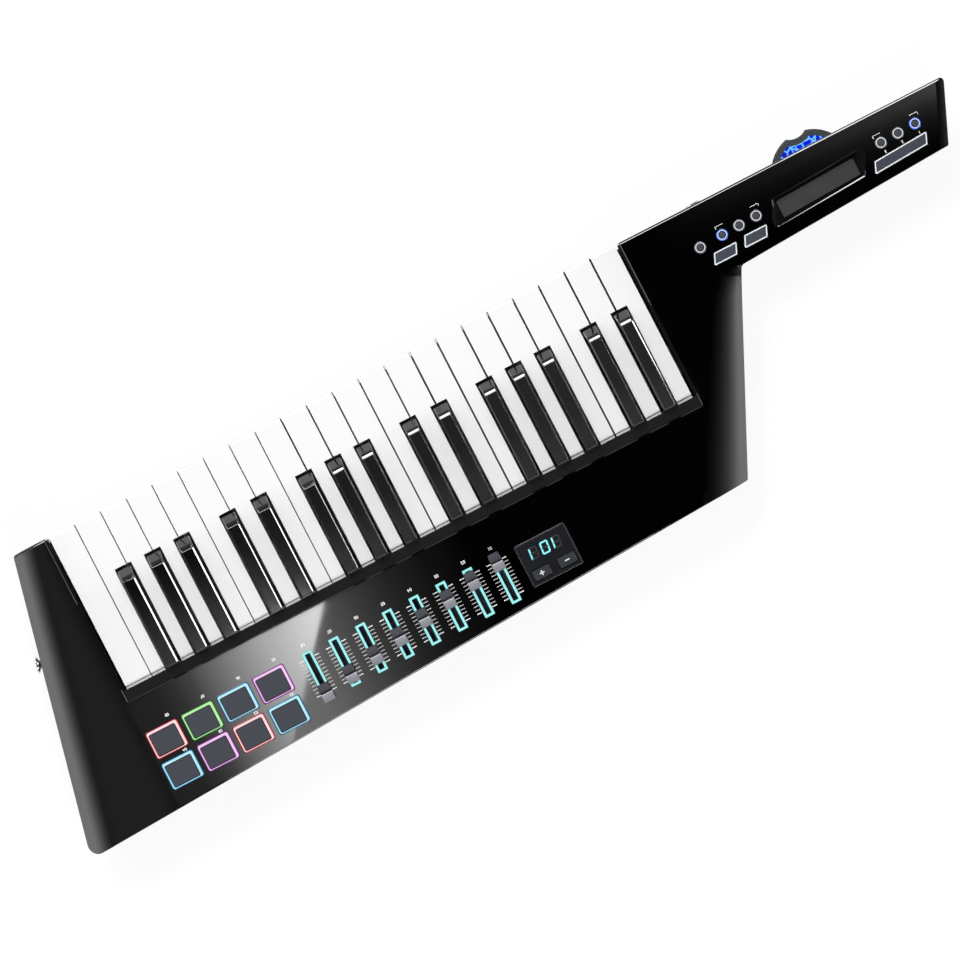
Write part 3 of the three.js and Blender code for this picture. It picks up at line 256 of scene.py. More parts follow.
def outline(corners, inset=0.0, steps=6):
    """Points round a polygon of (x, y, radius) corners, anticlockwise, as complex numbers x + iy.
    Each side moves inwards by inset, each corner is an arc of its radius less the inset, and all
    corners get equally many points, so that outlines of the same polygon can make a skin."""
    corners = np.asarray(corners, float)
    at = corners[:, 0] + 1j * corners[:, 1]
    ahead = np.roll(at, -1) - at
    ahead /= abs(ahead)
    behind = np.roll(ahead, 1)
    turn = np.angle(ahead / behind)
    tip = at + inset * 1j * (behind + ahead) / (1 + np.cos(turn))
    bend = np.maximum(corners[:, 2] - np.sign(turn) * inset, 0.02)
    start = tip - behind * bend * np.tan(abs(turn) / 2)
    hub = start + 1j * behind * np.sign(turn) * bend
    swing = np.exp(1j * turn[:, None] * np.linspace(0, 1, steps + 1))
    points = (hub[:, None] + (start - hub)[:, None] * swing).ravel()
    return np.column_stack([points.real, points.imag])


# %% Plates, prisms and quarter rounds


def lifted(flat, z):
    """Flat points at one height. With the last two columns swapped it is a ring that stands at y."""
    return np.column_stack([flat, np.full(len(flat), z)])


def plate(corners, insets, heights, steps=6):
    """A skin through the same outline at several insets and heights, from the lowest up."""
    return skin([lifted(outline(corners, inset, steps), z) for inset, z in zip(insets, heights)])


def prism(corners, low, high, steps=1):
    """A plate with upright sides and sharp edges."""
    return plate(corners, [0, 0], [low, high], steps)


def quarter(radius, steps=4):
    """A quarter round, from upright to level: inset r(1 - cos t), height r(sin t - 1)."""
    t = np.linspace(0, np.pi / 2, steps + 1)
    return radius * (1 - np.cos(t)), radius * (np.sin(t) - 1)


def rounded_plate(corners, low, high, radius):
    """A plate with upright sides whose upper edge is a quarter round."""
    inset, drop = quarter(radius)
    return plate(corners, [0, *inset], [low, *(high + drop)])


def oblong(x, y, width, depth, radius, lean=0.0, rise=0.0):
    """The corners of a rectangle about its middle. lean moves the upper side along x, and rise
    moves the right side along y."""
    h = np.array([-1, 1, 1, -1])
    v = np.array([-1, -1, 1, 1])
    return np.column_stack([
        x + h * width / 2 + v * lean / 2, y + v * depth / 2 + h * rise / 2, np.full(4, radius)])


# %% [markdown]
# A shape becomes a Blender mesh by one call. Its normals are worked out again so that they face
# outwards, it is moved from row millimetres into the frame, and it rides on the body that carries
# the real piece. Edges sharper than an angle, 30 degrees for most pieces, stay sharp; the rest
# shades smoothly, and Weighted Normal keeps large flat faces flat beside their rounded edges.

# %% From a shape to a piece


def mesh_of(shape):
    """A mesh in row millimetres whose faces all point outwards. A mesh is taken as it is."""
    if isinstance(shape, bpy.types.Mesh):
        return shape
    points, faces = shape
    mesh = bpy.data.meshes.new("shape")
    mesh.from_pydata(np.asarray(points).tolist(), [], faces)
    work = bmesh.new()
    work.from_mesh(mesh)
    bmesh.ops.remove_doubles(work, verts=work.verts, dist=1e-4)
    bmesh.ops.recalc_face_normals(work, faces=work.faces)
    work.to_mesh(mesh)
    work.free()
    return mesh


def array_of(items, name, width=3):
    """One attribute of all points or faces of a mesh as a numpy array."""
    values = np.empty(len(items) * width)
    items.foreach_get(name, values)
    return values.reshape(-1, width)


def moved(mesh, points):
    """Puts a mesh's points at new places."""
    mesh.vertices.foreach_set("co", np.asarray(points).ravel())
    mesh.update()
    return mesh


def shape_of(mesh):
    """A mesh as a shape: its points and its faces."""
    return array_of(mesh.vertices, "co"), [list(face.vertices) for face in mesh.polygons]


def piece(name, shape, material, body="case", sharp=30.0, stands_for=(), choose=None):
    """A finished piece from a shape or a mesh in row millimetres. choose takes the middles of the
    faces and gives the number of each face's material."""
    mesh = mesh_of(shape)
    mesh.name = name
    mesh.materials.clear()
    for one in material if isinstance(material, list) else [material]:
        mesh.materials.append(one)
    if choose:
        numbers = np.asarray(choose(array_of(mesh.polygons, "center")), int)
        mesh.polygons.foreach_set("material_index", numbers)
    moved(mesh, in_frame(array_of(mesh.vertices, "co")))
    mesh.shade_smooth()
    mesh.set_sharp_from_angle(angle=np.radians(sharp))
    item = placed(name, mesh)
    weights = item.modifiers.new("flat_faces", "WEIGHTED_NORMAL")
    weights.keep_sharp = True
    if stands_for:
        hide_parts(*stands_for)
    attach(item, body)
    return item


# %% Booleans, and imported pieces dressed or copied


def carve(shape, cutters, operation="DIFFERENCE"):
    """The shape less each cutter in turn, or joined with it, by the Boolean modifier. Cutters that
    stay clear of each other can be one shape."""
    work = placed("work", mesh_of(shape))
    tools = [placed("tool", mesh_of(cutter)) for cutter in cutters]
    for tool in tools:
        cut = work.modifiers.new("cut", "BOOLEAN")
        cut.operation, cut.solver, cut.object = operation, "MANIFOLD", tool
    depsgraph = bpy.context.evaluated_depsgraph_get()
    result = bpy.data.meshes.new_from_object(work.evaluated_get(depsgraph))
    for item in [work, *tools]:
        bpy.data.objects.remove(item)
    return result


def cad_copy(node):
    """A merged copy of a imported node's mesh, in row millimetres."""
    work = bmesh.new()
    work.from_mesh(nodes[node].data)
    bmesh.ops.remove_doubles(work, verts=work.verts, dist=1e-6)
    mesh = bpy.data.meshes.new(node)
    work.to_mesh(mesh)
    work.free()
    return moved(mesh, array_of(mesh.vertices, "co") / MM - ROW_ORIGIN)


def rounded(item, edge, steps=2):
    """Decimate merges the triangles in one plane, and Bevel rounds the edges."""
    planes = item.modifiers.new("planes", "DECIMATE")
    planes.decimate_type, planes.angle_limit = "DISSOLVE", np.radians(0.5)
    bevel = item.modifiers.new("edges", "BEVEL")
    bevel.width, bevel.segments, bevel.angle_limit = edge * MM, steps, np.radians(35)
    bevel.harden_normals = True


def dress(node, material, edge, steps=2):
    """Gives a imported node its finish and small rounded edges. The node's own mesh stays as it is:
    Weld joins its loose triangles first."""
    item = nodes[node]
    item.data.materials.clear()
    item.data.materials.append(material)
    item.modifiers.new("weld", "WELD").merge_threshold = 1e-6
    rounded(item, edge, steps)


# %% [markdown]
# Most surfaces here are injection moulded plastic, which differ in polish and texture. One
# function makes the shared part of such a material: the colour, a roughness that a soft noise
# shifts a little, as handling does, and a fine bump. Its grain size is given in millimetres.

# %% Moulded plastic


def inside(material):
    """A material's node tree and the sockets of its shader."""
    return material.node_tree, material.node_tree.nodes["Principled BSDF"].inputs


def noise(tree, size_mm, detail=2.0):
    """Noise on Object coordinates whose features are about size_mm across."""
    return add(tree, "TexNoise", feeds={
        "Vector": add(tree, "TexCoord", output="Object"), "Scale": 1000.0 / size_mm, "Detail": detail})


def drift(material, socket, low, high, size_mm, detail=3.0):
    """A socket's value drifts between low and high in soft patches about size_mm across."""
    tree, sockets = inside(material)
    value = add(tree, "MapRange", feeds={
        "Value": noise(tree, size_mm, detail), "From Min": 0.3, "From Max": 0.7,
        "To Min": low, "To Max": high})
    tree.links.new(value, sockets[socket])


def bumpy(material, size_mm, depth_mm, strength=1.0, detail=2.0):
    """A bump of noise: grains size_mm across and depth_mm high."""
    tree, sockets = inside(material)
    bump = add(tree, "Bump", feeds={
        "Strength": strength, "Distance": depth_mm * MM, "Height": noise(tree, size_mm, detail)})
    tree.links.new(bump, sockets["Normal"])


def finish(name, colour, roughness, wiped=None, grain=None, **values):
    """A Principled material with plain values on its own sockets. wiped is the drift of its
    roughness: low, high and patch size in mm. grain is its bump: size and depth in mm."""
    material = bpy.data.materials.new(name)
    material.use_nodes = True
    for key, value in {"Base_Color": linear(colour), "Roughness": roughness, "IOR": 1.5, **values}.items():
        inside(material)[1][key.replace("_", " ")].default_value = value
    if wiped:
        drift(material, "Roughness", *wiped)
    if grain:
        bumpy(material, *grain)
    return material


# %% The case's finishes
# Polished ABS from a mirror-lapped mould: deep black, a sharp mirror image, and the very faint
# waviness that moulding leaves.
gloss_abs = finish("polished_black_abs", "#020203", 0.02, (0.012, 0.028, 40.0), IOR=1.54)

# Spark-eroded ABS of the back shell: the same plastic with a fine leathery grain, half a
# millimetre across and drawn a little coarser and deeper than it is so that it shows.
grained_abs = finish("grained_black_abs", "#17181a", 0.45, (0.40, 0.52, 25.0), (0.9, 0.05, 0.8, 3.0),
                     IOR=1.54)

# The neck's end cap is left matte where the hand may knock it: it swallows the mirror image.
matte_abs = finish("matte_black_abs", "#060607", 0.5, (0.45, 0.6, 12.0), (0.5, 0.02), Specular_IOR_Level=0.05)
print("materials", [m.name for m in (gloss_abs, grained_abs, matte_abs)])

# %% [markdown]
# The front shell is the piece the eye meets first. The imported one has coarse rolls, so it is made
# again with the same sizes: a flat prism, less what a section swept along each side takes off,
# less the hollow, the key well and every opening. Each opening's cutter flares at its mouth, which
# leaves the small rounded lip that a real mould has. Booleans suit this, since all the forms are
# plain sweeps that cross each other.

# %% The case's outline and heights
PANEL, SEAM, WALL = 58.0, 32.0, 2.6
UNDER = PANEL - WALL
KEYS_WIDE, KEYS_LONG, TRIM_WIDE, TRIM_DROP, WELL_GAP = 517.0, 139.3, 8.6, 1.0, 3.0
BAND_TOP = -(KEYS_LONG + TRIM_WIDE)
CASE = np.array([
    # x, y, corner radius: cheek, lower left, lower right, neck root, heel, tip
    (-32.7, 0.0, 3.0), (-89.7, -248.0, 9.0), (526.1, -219.1, 2.0),
    (600.5, -61.8, 4.0), (794.8, -52.3, 3.0), (817.1, 0.0, 4.0)])
FLANK = np.radians(38.0)
LEFT_ROLL = dict(width=27.0, depth=16.0, flank=FLANK)
RIGHT_ROLL = dict(width=36.0, depth=16.0, flank=FLANK)
# Places along each side from its start, and the size of the roll's section there. The right one
# tapers towards the neck and dies out at its root.
LEFT_TAPER = [(-30, 0.96), (60, 0.97), (180, 1.04), (300, 1.08)]
RIGHT_TAPER = [(-40, 1.16), (0, 1.09), (40, 1.0), (90, 0.86), (125, 0.77), (140, 0.72), (150, 0.67),
               (158, 0.58), (165, 0.53), (170, 0.40), (173, 0.16), (174, 0.002)]
TIP_BEVEL = dict(width=8.0, depth=7.0)
LOWER_ROUND = dict(width=1.4, depth=1.4)
# Cutters stand out of the shell by this much.
CLEAR = 3.0


# %% The sections of its edges


def roll_curve(width, depth, flank=0.0, steps=28):
    """A quarter ellipse from the side to the panel, (width(1 - cos a), depth(sin a - 1)) in inward
    distance and height. With a flank it starts where its slope is the flank's, and runs out flat."""
    first = np.arctan(depth / width / np.tan(flank)) if flank else 0.0
    a = np.linspace(first, np.pi / 2, steps + 1)
    curve = np.column_stack([width * (1 - np.cos(a)), depth * (np.sin(a) - 1)])
    foot = curve[0, 1] - (curve[0, 0] + CLEAR) * np.tan(flank)
    return np.vstack([[-CLEAR, foot], curve])


def facet_curve(tilt=np.radians(28.0), low_radius=2.0, facet=0.9, high_radius=1.2, steps=6):
    """An edge with a narrow facet between two rounds. A round at tilt t lies at R(1 - sin t) inwards
    and R(cos t - 1) in height; the facet is a straight step at its own tilt."""
    lower = np.linspace(np.pi / 2, tilt, steps + 1)
    upper = np.linspace(tilt, 0, steps + 1)
    low = np.column_stack([low_radius * (1 - np.sin(lower)), low_radius * np.cos(lower)])
    high = np.column_stack([high_radius * (np.sin(tilt) - np.sin(upper)),
                            high_radius * (np.cos(upper) - np.cos(tilt))])
    high += low[-1] + facet * np.array([np.cos(tilt), np.sin(tilt)])
    curve = np.vstack([low, high]) - [0.0, high[-1, 1]]
    return np.vstack([[-CLEAR, curve[0, 1]], curve])


# %% Sections swept along its sides


def swept_waste(start, end, curve, inset=0.0, taper=None):
    """What an edge takes off the shell: the space above a curve, swept along one side of the case,
    with the section's size given by (place, size) pairs."""
    along = end[:2] - start[:2]
    length = np.linalg.norm(along)
    along = along / length
    inward = np.array([-along[1], along[0]])
    rings = []
    for place, size in taper or [(-10, 1), (length + 10, 1)]:
        section = np.vstack([curve * size, [curve[-1, 0] * size, CLEAR], [-CLEAR, CLEAR]])
        section[0, 0] = -CLEAR
        flat = start[:2] + inward * (inset + section[:, :1]) + along * place
        rings.append(np.column_stack([flat, PANEL - inset + section[:, 1]]))
    return skin(rings)


def cheek_lip():
    """The facet of the top edge, carried over the rolled cheek. The waste's floor is the sum of two
    curves: the roll's height at x and the facet's height at its distance from the edge."""
    start, side = CASE[0, :2], CASE[1, :2] - CASE[0, :2]
    roll = roll_curve(**LEFT_ROLL) * LEFT_TAPER[0][1]
    across = roll[:, 0] * np.linalg.norm(side) / -side[1]
    rings = []
    for inward, drop in facet_curve():
        x = start[0] + across + inward * side[0] / -side[1]
        z = roll[:, 1] + drop + (0.01 if drop > -1e-6 else 0.0)
        floor = np.column_stack([np.append(x, -1.0), np.append(z, z[-1])])
        ring = np.vstack([floor, [-1.0, CLEAR], [x[0], CLEAR]])
        rings.append(np.column_stack([ring[:, 0], np.full(len(ring), -inward), PANEL + ring[:, 1]]))
    return skin(rings)


def all_rolls(inset=0.0, steps=28):
    """The two rolled ends and the bevelled tip, moved inwards for the inner face of the wall."""
    cheek, low_left, low_right, root, heel, tip = CASE
    wastes = []
    for start, end, roll, taper in (
            (cheek, low_left, LEFT_ROLL, LEFT_TAPER), (low_right, root, RIGHT_ROLL, RIGHT_TAPER),
            (heel, tip, TIP_BEVEL, None)):
        curve = roll_curve(roll["width"] - inset, roll["depth"] - inset, roll.get("flank", 0.0), steps)
        wastes.append(swept_waste(start, end, curve, inset, taper))
    return wastes


# %% The openings' places, read from the drawing
PAD_XS = 11.3 + 32.35 * np.arange(4)
PAD_YS = BAND_TOP - 41.3 - 28.0 * np.arange(2)
FADER_XS = 143.6 + 24.34 * np.arange(8)
FADER_Y = BAND_TOP - 51.5
NECK = 277.8
KNOBS = np.array([
    (577.2, -33.7), (597.6, -32.7), (613.3, -32.1), (629.1, -31.5),
    (746.0, -25.3), (761.7, -24.7), (777.5, -24.1)])
BUTTONS = {
    "octave_up_button": oblong(593.0, -47.6, 20.61, 9.6, 1.0, lean=4.2),
    "octave_down_button": oblong(621.3, -46.2, 20.61, 9.6, 1.0, lean=4.2),
    "sustain_button": oblong(756.5, -40.2, 48.6, 9.9, 1.0, lean=4.1, rise=2.6),
    "program_plus_button": oblong(342.8, BAND_TOP - 60.9, 16.0, 9.4, 1.5),
    "program_minus_button": oblong(365.6, BAND_TOP - 60.9, 16.0, 9.4, 1.5)}
RIBBON_X, RIBBON_Y, RIBBON_SINK = KEYS_WIDE + 0.6037 * NECK, -34.5, 4.0
RIBBON_MOUTH = oblong(RIBBON_X, RIBBON_Y, 0.3024 * NECK, 21.6, 1.0, lean=8.2, rise=4.3)
RIBBON_FLOOR = oblong(RIBBON_X, RIBBON_Y, 0.2603 * NECK, 15.0, 1.0, rise=2.9)
LENS, LENS_DROP = oblong(354.0, BAND_TOP - 50.6, 45.0, 36.0, 0.9), 0.8
WHEEL = np.array([KEYS_WIDE + 0.6206 * NECK, -20.0])
WHEEL_LOW, WHEEL_THICK, WHEEL_RADIUS = 34.8, 8.0, 34.0
WHEEL_TOP = WHEEL_LOW + WHEEL_THICK


# %% Cutters


def mouth(corners, lip=0.35, low=UNDER - CLEAR, grow=0.0):
    """A cutter whose sides flare into a quarter round of radius lip at the panel."""
    inset, drop = quarter(lip)
    insets = [-grow, *(-grow - inset), -grow - lip]
    return plate(corners, insets, [low, *(PANEL + drop), PANEL + CLEAR], 4)


def circle(x, y, radius):
    """The corners of a round hole: a square whose corner arcs meet."""
    return oblong(x, y, 2 * radius, 2 * radius, radius * 0.999)


def drum(at, radius, low, high):
    """An upright cylinder between two heights."""
    return prism(circle(*at, radius), low, high, 16)


def block(low, high):
    """A box between two corners."""
    (x0, y0, z0), (x1, y1, z1) = low, high
    return prism(oblong((x0 + x1) / 2, (y0 + y1) / 2, x1 - x0, y1 - y0, 0.02), z0, z1)


# %% The ribbon's recess


def ribbon_recess(grow):
    """A frustum from the recess's mouth in the panel to its floor, grown by the wall inside."""
    lip = RIBBON_MOUTH + (RIBBON_MOUTH - RIBBON_FLOOR) * CLEAR / RIBBON_SINK
    return skin([lifted(outline(RIBBON_FLOOR, -grow, 4), PANEL - RIBBON_SINK - grow),
                 lifted(outline(lip, -grow, 4), PANEL + CLEAR - grow)])


def ribbon_facet(depth=0.5, tilt=np.radians(28.5)):
    """The polished facet round the recess's mouth, which widens by height / tan(tilt)."""
    start = RIBBON_FLOOR + (RIBBON_MOUTH - RIBBON_FLOOR) * (1 - depth / RIBBON_SINK)
    grow = (depth + CLEAR) / np.tan(tilt)
    return plate(start, [0.0, -grow], [PANEL - depth, PANEL + CLEAR], 4)


# %% Cut the front shell's edges and hollow
left, right = -WELL_GAP, KEYS_WIDE + WELL_GAP
seam_edge, seam_drop = quarter(0.5, 2)
top_edge, top_drop = quarter(0.6, 3)
body = plate(CASE, [*seam_edge[::-1], *top_edge],
             [*(SEAM - 0.2 - seam_drop[::-1]), *(PANEL + top_drop)], 8)
body = carve(body, [*all_rolls(), swept_waste(CASE[5], CASE[0], facet_curve()),
                    swept_waste(CASE[1], CASE[2], roll_curve(**LOWER_ROUND, steps=6)), cheek_lip()])

# The hollow leaves a wall round the rolls, the key well and the ribbon's recess.
hollow = carve(plate(CASE, [WALL, WALL], [SEAM - CLEAR, UNDER], 4), [
    *all_rolls(WALL, 8), block((left - WALL, -KEYS_LONG, SEAM - 5), (right + WALL, 3, PANEL)),
    block((left - WALL, BAND_TOP - WALL, PANEL - 3.4), (right + WALL, -KEYS_LONG, PANEL)),
    ribbon_recess(WALL)])
print("body", len(body.vertices), "points, hollow", len(hollow.vertices))

# %% Cut the openings
PAD_WINDOW, FADER_SLOT, KNOB_HOLE, BUTTON_GAP = (28.2, 23.6, 2.0), (4.0, 39.0, 0.6), 4.75, 0.3
corners = [oblong(x, y, *PAD_WINDOW) for y in PAD_YS for x in PAD_XS]
corners += [oblong(x, FADER_Y, *FADER_SLOT) for x in FADER_XS]
corners += [circle(x, y, KNOB_HOLE) for x, y in KNOBS]
openings = [mouth(shape) for shape in corners]
openings += [mouth(shape, grow=BUTTON_GAP) for shape in BUTTONS.values()]
ledge = oblong((left + right) / 2, (BAND_TOP + 6.0) / 2, right - left, 6.0 - BAND_TOP, 0.3)
bright_edge = plate(ledge, [0.0, -4.0], [PANEL - 0.75, PANEL + 3.25], 4)
well = [block((left, -KEYS_LONG, SEAM - CLEAR), (right, 3, PANEL + CLEAR)),
        mouth(ledge, 0.1, PANEL - TRIM_DROP), bright_edge]

# The port and the round jack go through the wall of the lower side.
OUTSIDE, INSIDE = -246.0, -236.8
port = block((23.7, OUTSIDE, 34.3), (36.3, INSIDE, 44.0))
jack = skin([lifted(outline(circle(62.0, 39.2, 4.7), 0, 8), y)[:, [0, 2, 1]] for y in (OUTSIDE, INSIDE)])
body = carve(body, [hollow, ribbon_recess(0.0), ribbon_facet(), join(openings), *well, port, jack])

digit_window = block((337.0, BAND_TOP - 50.5, UNDER - CLEAR), (371.0, BAND_TOP - 36.5, PANEL))
wheel_slot = drum(WHEEL, WHEEL_RADIUS + 0.8, WHEEL_LOW - 0.8, WHEEL_TOP + 0.8)
body = carve(body, [mouth(LENS, 0.3, PANEL - LENS_DROP), digit_window, wheel_slot])
print("openings", len(openings), "body", len(body.vertices), "points")

# %% The finished front shell
TIP_FROM, RECESS_REACH = 700.0, (48.0, 14.0)


def satin_faces(middles):
    """Number 1 for the faces that slope down to the tip of the neck and for the recess's walls, 0
    for all others."""
    x, y, z = middles.T
    along = (CASE[5] - CASE[4])[:2]
    inward = (middles[:, :2] - CASE[4, :2]) @ [-along[1], along[0]] / np.linalg.norm(along)
    slope = (inward < TIP_BEVEL["width"] - 0.2) & (z < PANEL - 0.01) & (x > TIP_FROM)
    recess = (abs(x - RIBBON_X) < RECESS_REACH[0]) & (abs(y - RIBBON_Y) < RECESS_REACH[1])
    return slope | recess & (z < PANEL - 0.5) & (z > PANEL - RIBBON_SINK - 0.1)


def keep_flat(mesh, level):
    """Marks every edge between the faces at one level and all others as sharp, so that the level
    faces shade, and mirror, as one true plane."""
    flat = array_of(mesh.polygons, "center")[:, 2] > level - 1e-5
    loops = np.repeat(flat, array_of(mesh.polygons, "loop_total", 1)[:, 0].astype(int))
    edge = array_of(mesh.loops, "edge_index", 1)[:, 0].astype(int)
    rim = np.bincount(edge[loops], minlength=len(mesh.edges)) == 1
    sharp = mesh.attributes["sharp_edge"].data
    sharp.foreach_set("value", rim | array_of(sharp, "value", 1)[:, 0].astype(bool))


front_shell = piece("front_shell", body, [gloss_abs, matte_abs], sharp=26.0,
                    stands_for=["front_housing"], choose=satin_faces)
keep_flat(front_shell.data, PANEL * MM)
print("front shell", len(body.vertices), "points")

# %% [markdown]
# The floor is a plain pale sheet. For the camera and for mirror images it adds light of its own,
# so that it reads as white paper, and its own shading keeps a soft shadow under the case.

# %% The floor


def sheet(name, points, material, glow):
    """A flat sheet round some points in metres. It belongs to the stage; its surface is glow."""
    material.node_tree.links.new(glow, material.node_tree.nodes["Material Output"].inputs["Surface"])
    mesh = bpy.data.meshes.new(name)
    mesh.from_pydata(points, [], [list(range(len(points)))])
    mesh.materials.append(material)
    placed(name, mesh)


FLOOR_REACH, FLOOR_Z = 14, -0.0005
floor_paper = finish("floor_paper", "#e8e8e8", 0.9)
tree = floor_paper.node_tree
path = add(tree, "LightPath").node.outputs
seen = add(tree, "Math", {"operation": "MAXIMUM"}, {0: path["Is Camera Ray"], 1: path["Is Glossy Ray"]})
seen = add(tree, "Math", {"operation": "MAXIMUM"}, {0: seen, 1: path["Is Transmission Ray"]})
paper = add(tree, "BsdfDiffuse", feeds={"Color": grey(0.20)})
light = add(tree, "Emission", feeds={"Color": grey(1.0), "Strength": 0.85})
white = add(tree, "AddShader", feeds={0: paper, 1: light})
plain = tree.nodes["Principled BSDF"].outputs[0]
sheet("floor", [(x * FLOOR_REACH, y * FLOOR_REACH, FLOOR_Z) for x, y in ((-1, -1), (1, -1), (1, 1), (-1, 1))],
      floor_paper, add(tree, "MixShader", feeds={"Fac": seen, 1: plain, 2: white}))
print("floor", 2 * FLOOR_REACH, "m wide")

# %% [markdown]
# The grey sweep on the band, with its sharp slanting edge, is the mirror image of a soft card
# that hangs over the case. The cards are real sheets here: a mirror image of a point at height h
# over the panel lies where the line of sight, folded at the panel, meets it, so a card's corners
# follow from places on the panel by one scale about the camera's axis. Fainter cards over the
# keys and the neck put the soft shine on the black keys and on the neck's upper edge.

# %% The cards over the case
CARD_HEIGHT = 4.0
AXIS = np.array([332.5, -119.2])


def card(name, places, strength, along, across=None, blend="LIGHTEN", height=CARD_HEIGHT):
    """places are corners on the panel in row millimetres; each moves out from the camera's axis by
    1 + h / c, for the card's height h and the camera's height c over the panel. along and across
    give the glow by places along the row and across it."""
    scale = 1 + (height - PANEL * MM) / (CAMERA_HEIGHT + (KEY_TOP - PANEL) * MM)
    material = bpy.data.materials.new(name + "_glow")
    material.use_nodes = True
    tree = material.node_tree
    tree.nodes.remove(tree.nodes["Principled BSDF"])
    axes = add(tree, "SeparateXYZ", feeds={"Vector": add(tree, "TexCoord", output="Object")}).node.outputs
    glows = []
    for k, stops in enumerate((along, across)):
        if stops:
            stops = sorted(stops)
            first, last = stops[0][0], stops[-1][0]
            ends = [(AXIS[k] + (end - AXIS[k]) * scale + ROW_ORIGIN[k]) * MM for end in (first, last)]
            share = add(tree, "MapRange", feeds={
                "Value": axes[k], "From Min": float(ends[0]), "From Max": float(ends[1])})
            stops = [((place - first) / (last - first), grey(value)) for place, value in stops]
            glows.append(add(tree, "ValToRGB", {"stops": stops}, {"Fac": share}))
    colour = glows[0] if len(glows) == 1 else add(
        tree, "Mix", {"data_type": "RGBA", "blend_type": blend}, {0: 1.0, 6: glows[0], 7: glows[1]}, 2)
    flat = AXIS + (np.asarray(places, float) - AXIS) * scale
    sheet(name, in_frame(lifted(flat, height / MM)).tolist(), material,
          add(tree, "Emission", feeds={"Color": colour, "Strength": strength}))
    print(name, "corners", len(places), "strength", strength)


# %% Two cards over the band, one over the keys and one over the neck
card("near_card", [(-5, -148.5), (-5, -262), (80.7, -262), (175.85, -148.5)], 17.0, [
    (-5, 0.018), (6, 0.0195), (20, 0.0215), (35, 0.0355), (50, 0.067), (65, 0.146), (80, 0.232), (95, 0.336),
    (110, 0.457), (125, 0.579), (140, 0.702), (155, 0.839), (172, 1.0)])
card("far_card", [(60, -148.5), (60, -262), (315, -262), (315, -148.5)], 3.3, [
    (60, 1.2), (110, 1.0), (140, 0.86), (155, 0.71), (170, 0.54), (185, 0.39), (200, 0.26),
    (215, 0.17), (230, 0.10), (260, 0.035), (300, 0.0)], height=CARD_HEIGHT + 0.02)
card("key_card", [(30, -40), (30, -141), (520, -141), (520, -40)], 0.5, [
    (90, 0.0), (138, 0.13), (208, 0.22), (270, 0.28), (340, 0.32), (399, 0.42), (520, 0.42)], [
    (-141, 0.90), (-133, 0.86), (-120, 0.66), (-100, 0.32), (-80, 0.10), (-68, 0.0)])
card("neck_card", [(545, 4), (545, -40), (600, -66), (830, -60), (830, 4)], 1.9, [
    (550, 0.0), (600, 0.047), (640, 0.075), (680, 0.12), (720, 0.21), (760, 0.31), (790, 0.42),
    (805, 0.60), (825, 0.60)], [
    (4, 1.0), (-3, 1.0), (-8, 0.9), (-14, 0.48), (-22, 0.25), (-30, 0.12), (-45, 0.02), (-66, 0.0)],
     "MULTIPLY")

# %% [markdown]
# The white keys are hollow mouldings of polished white ABS. The imported ones already have their
# cut-outs for the black keys, their nose and their clip, so each is taken as it is and gets what
# a mould adds: a shallow groove across its tail, where the top plate ends in front of the trim,
# and edges rounded by a third of a millimetre. A Bevel modifier rounds all of them alike.
# Only the top and the front are polished; the sides stay unpolished as they came from the mould. The sides,
# the groove and the notches are painted grey as the shade in the gaps between the keys, and a darker grey
# towards the neck, where a shallow rebate along their upper edges also widens the gaps; both draw the dark
# lines between the keys. Front corners are cut back a little, so a small notch, dark with painted shade,
# opens between two neighbours.

# %% White keys
# Polished faces have a soft sheen and show no grain; unpolished sides look dull and warmer, and are painted
# grey as the shade in the gaps, darker towards the neck.
white_abs = finish("polished_white_abs", "#fcfcfd", 0.16, (0.12, 0.24, 30.0), (6.0, 0.004))
side_gap_shade_abs = finish("unpolished_side_gap_shade", "#c9c9c7", 0.6, (0.5, 0.7, 12.0))
side_deep_gap_shade_abs = finish("unpolished_side_deep_gap_shade", "#4c4c4b", 0.6, (0.5, 0.7, 12.0))

WHITE_KEYS = [f"white_key_{n:02d}" for n in range(1, 23)]
BLACK_KEYS = [f"black_key_{n:02d}" for n in range(1, 16)]
# The notch is a square on its corner that reaches this far. Past the first place below, the sides are painted
# darker as the gaps' shade and the gaps are wide; they are widest past WIDEST. Faces under KEY_UNDER are
# inside the case.
KEY_EDGE, KEY_PITCH, NOTCH, NOTCH_DEPTH, REBATE, KEY_UNDER = 0.35, 23.5, 2.0, 7.0, 3.0, 35.0
DARK_GAPS_FROM, WIDEST, GAPS, GROOVE = 200.0, 320.0, (1.3, 1.55), (-137.0, -136.3, 1.3)


def middle_of(node):
    """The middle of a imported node's box, in row millimetres."""
    low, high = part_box(node)
    return (np.array(low) + np.array(high)) / 2 / MM - ROW_ORIGIN


def key_sides(middles, middle):
    """Number 1 or 2 for the sides, notches and groove, painted lighter or darker as the gaps' shade; 0 for
    the top, the underside and the front.
    """
    x, y, z = middles.T
    border = abs(abs(x - middle) - KEY_PITCH / 2) < 1.5
    return ((z < KEY_TOP - 0.01) & (z > KEY_UNDER) & ((y < -1.5) | border)) * np.where(x > DARK_GAPS_FROM, 2, 1)


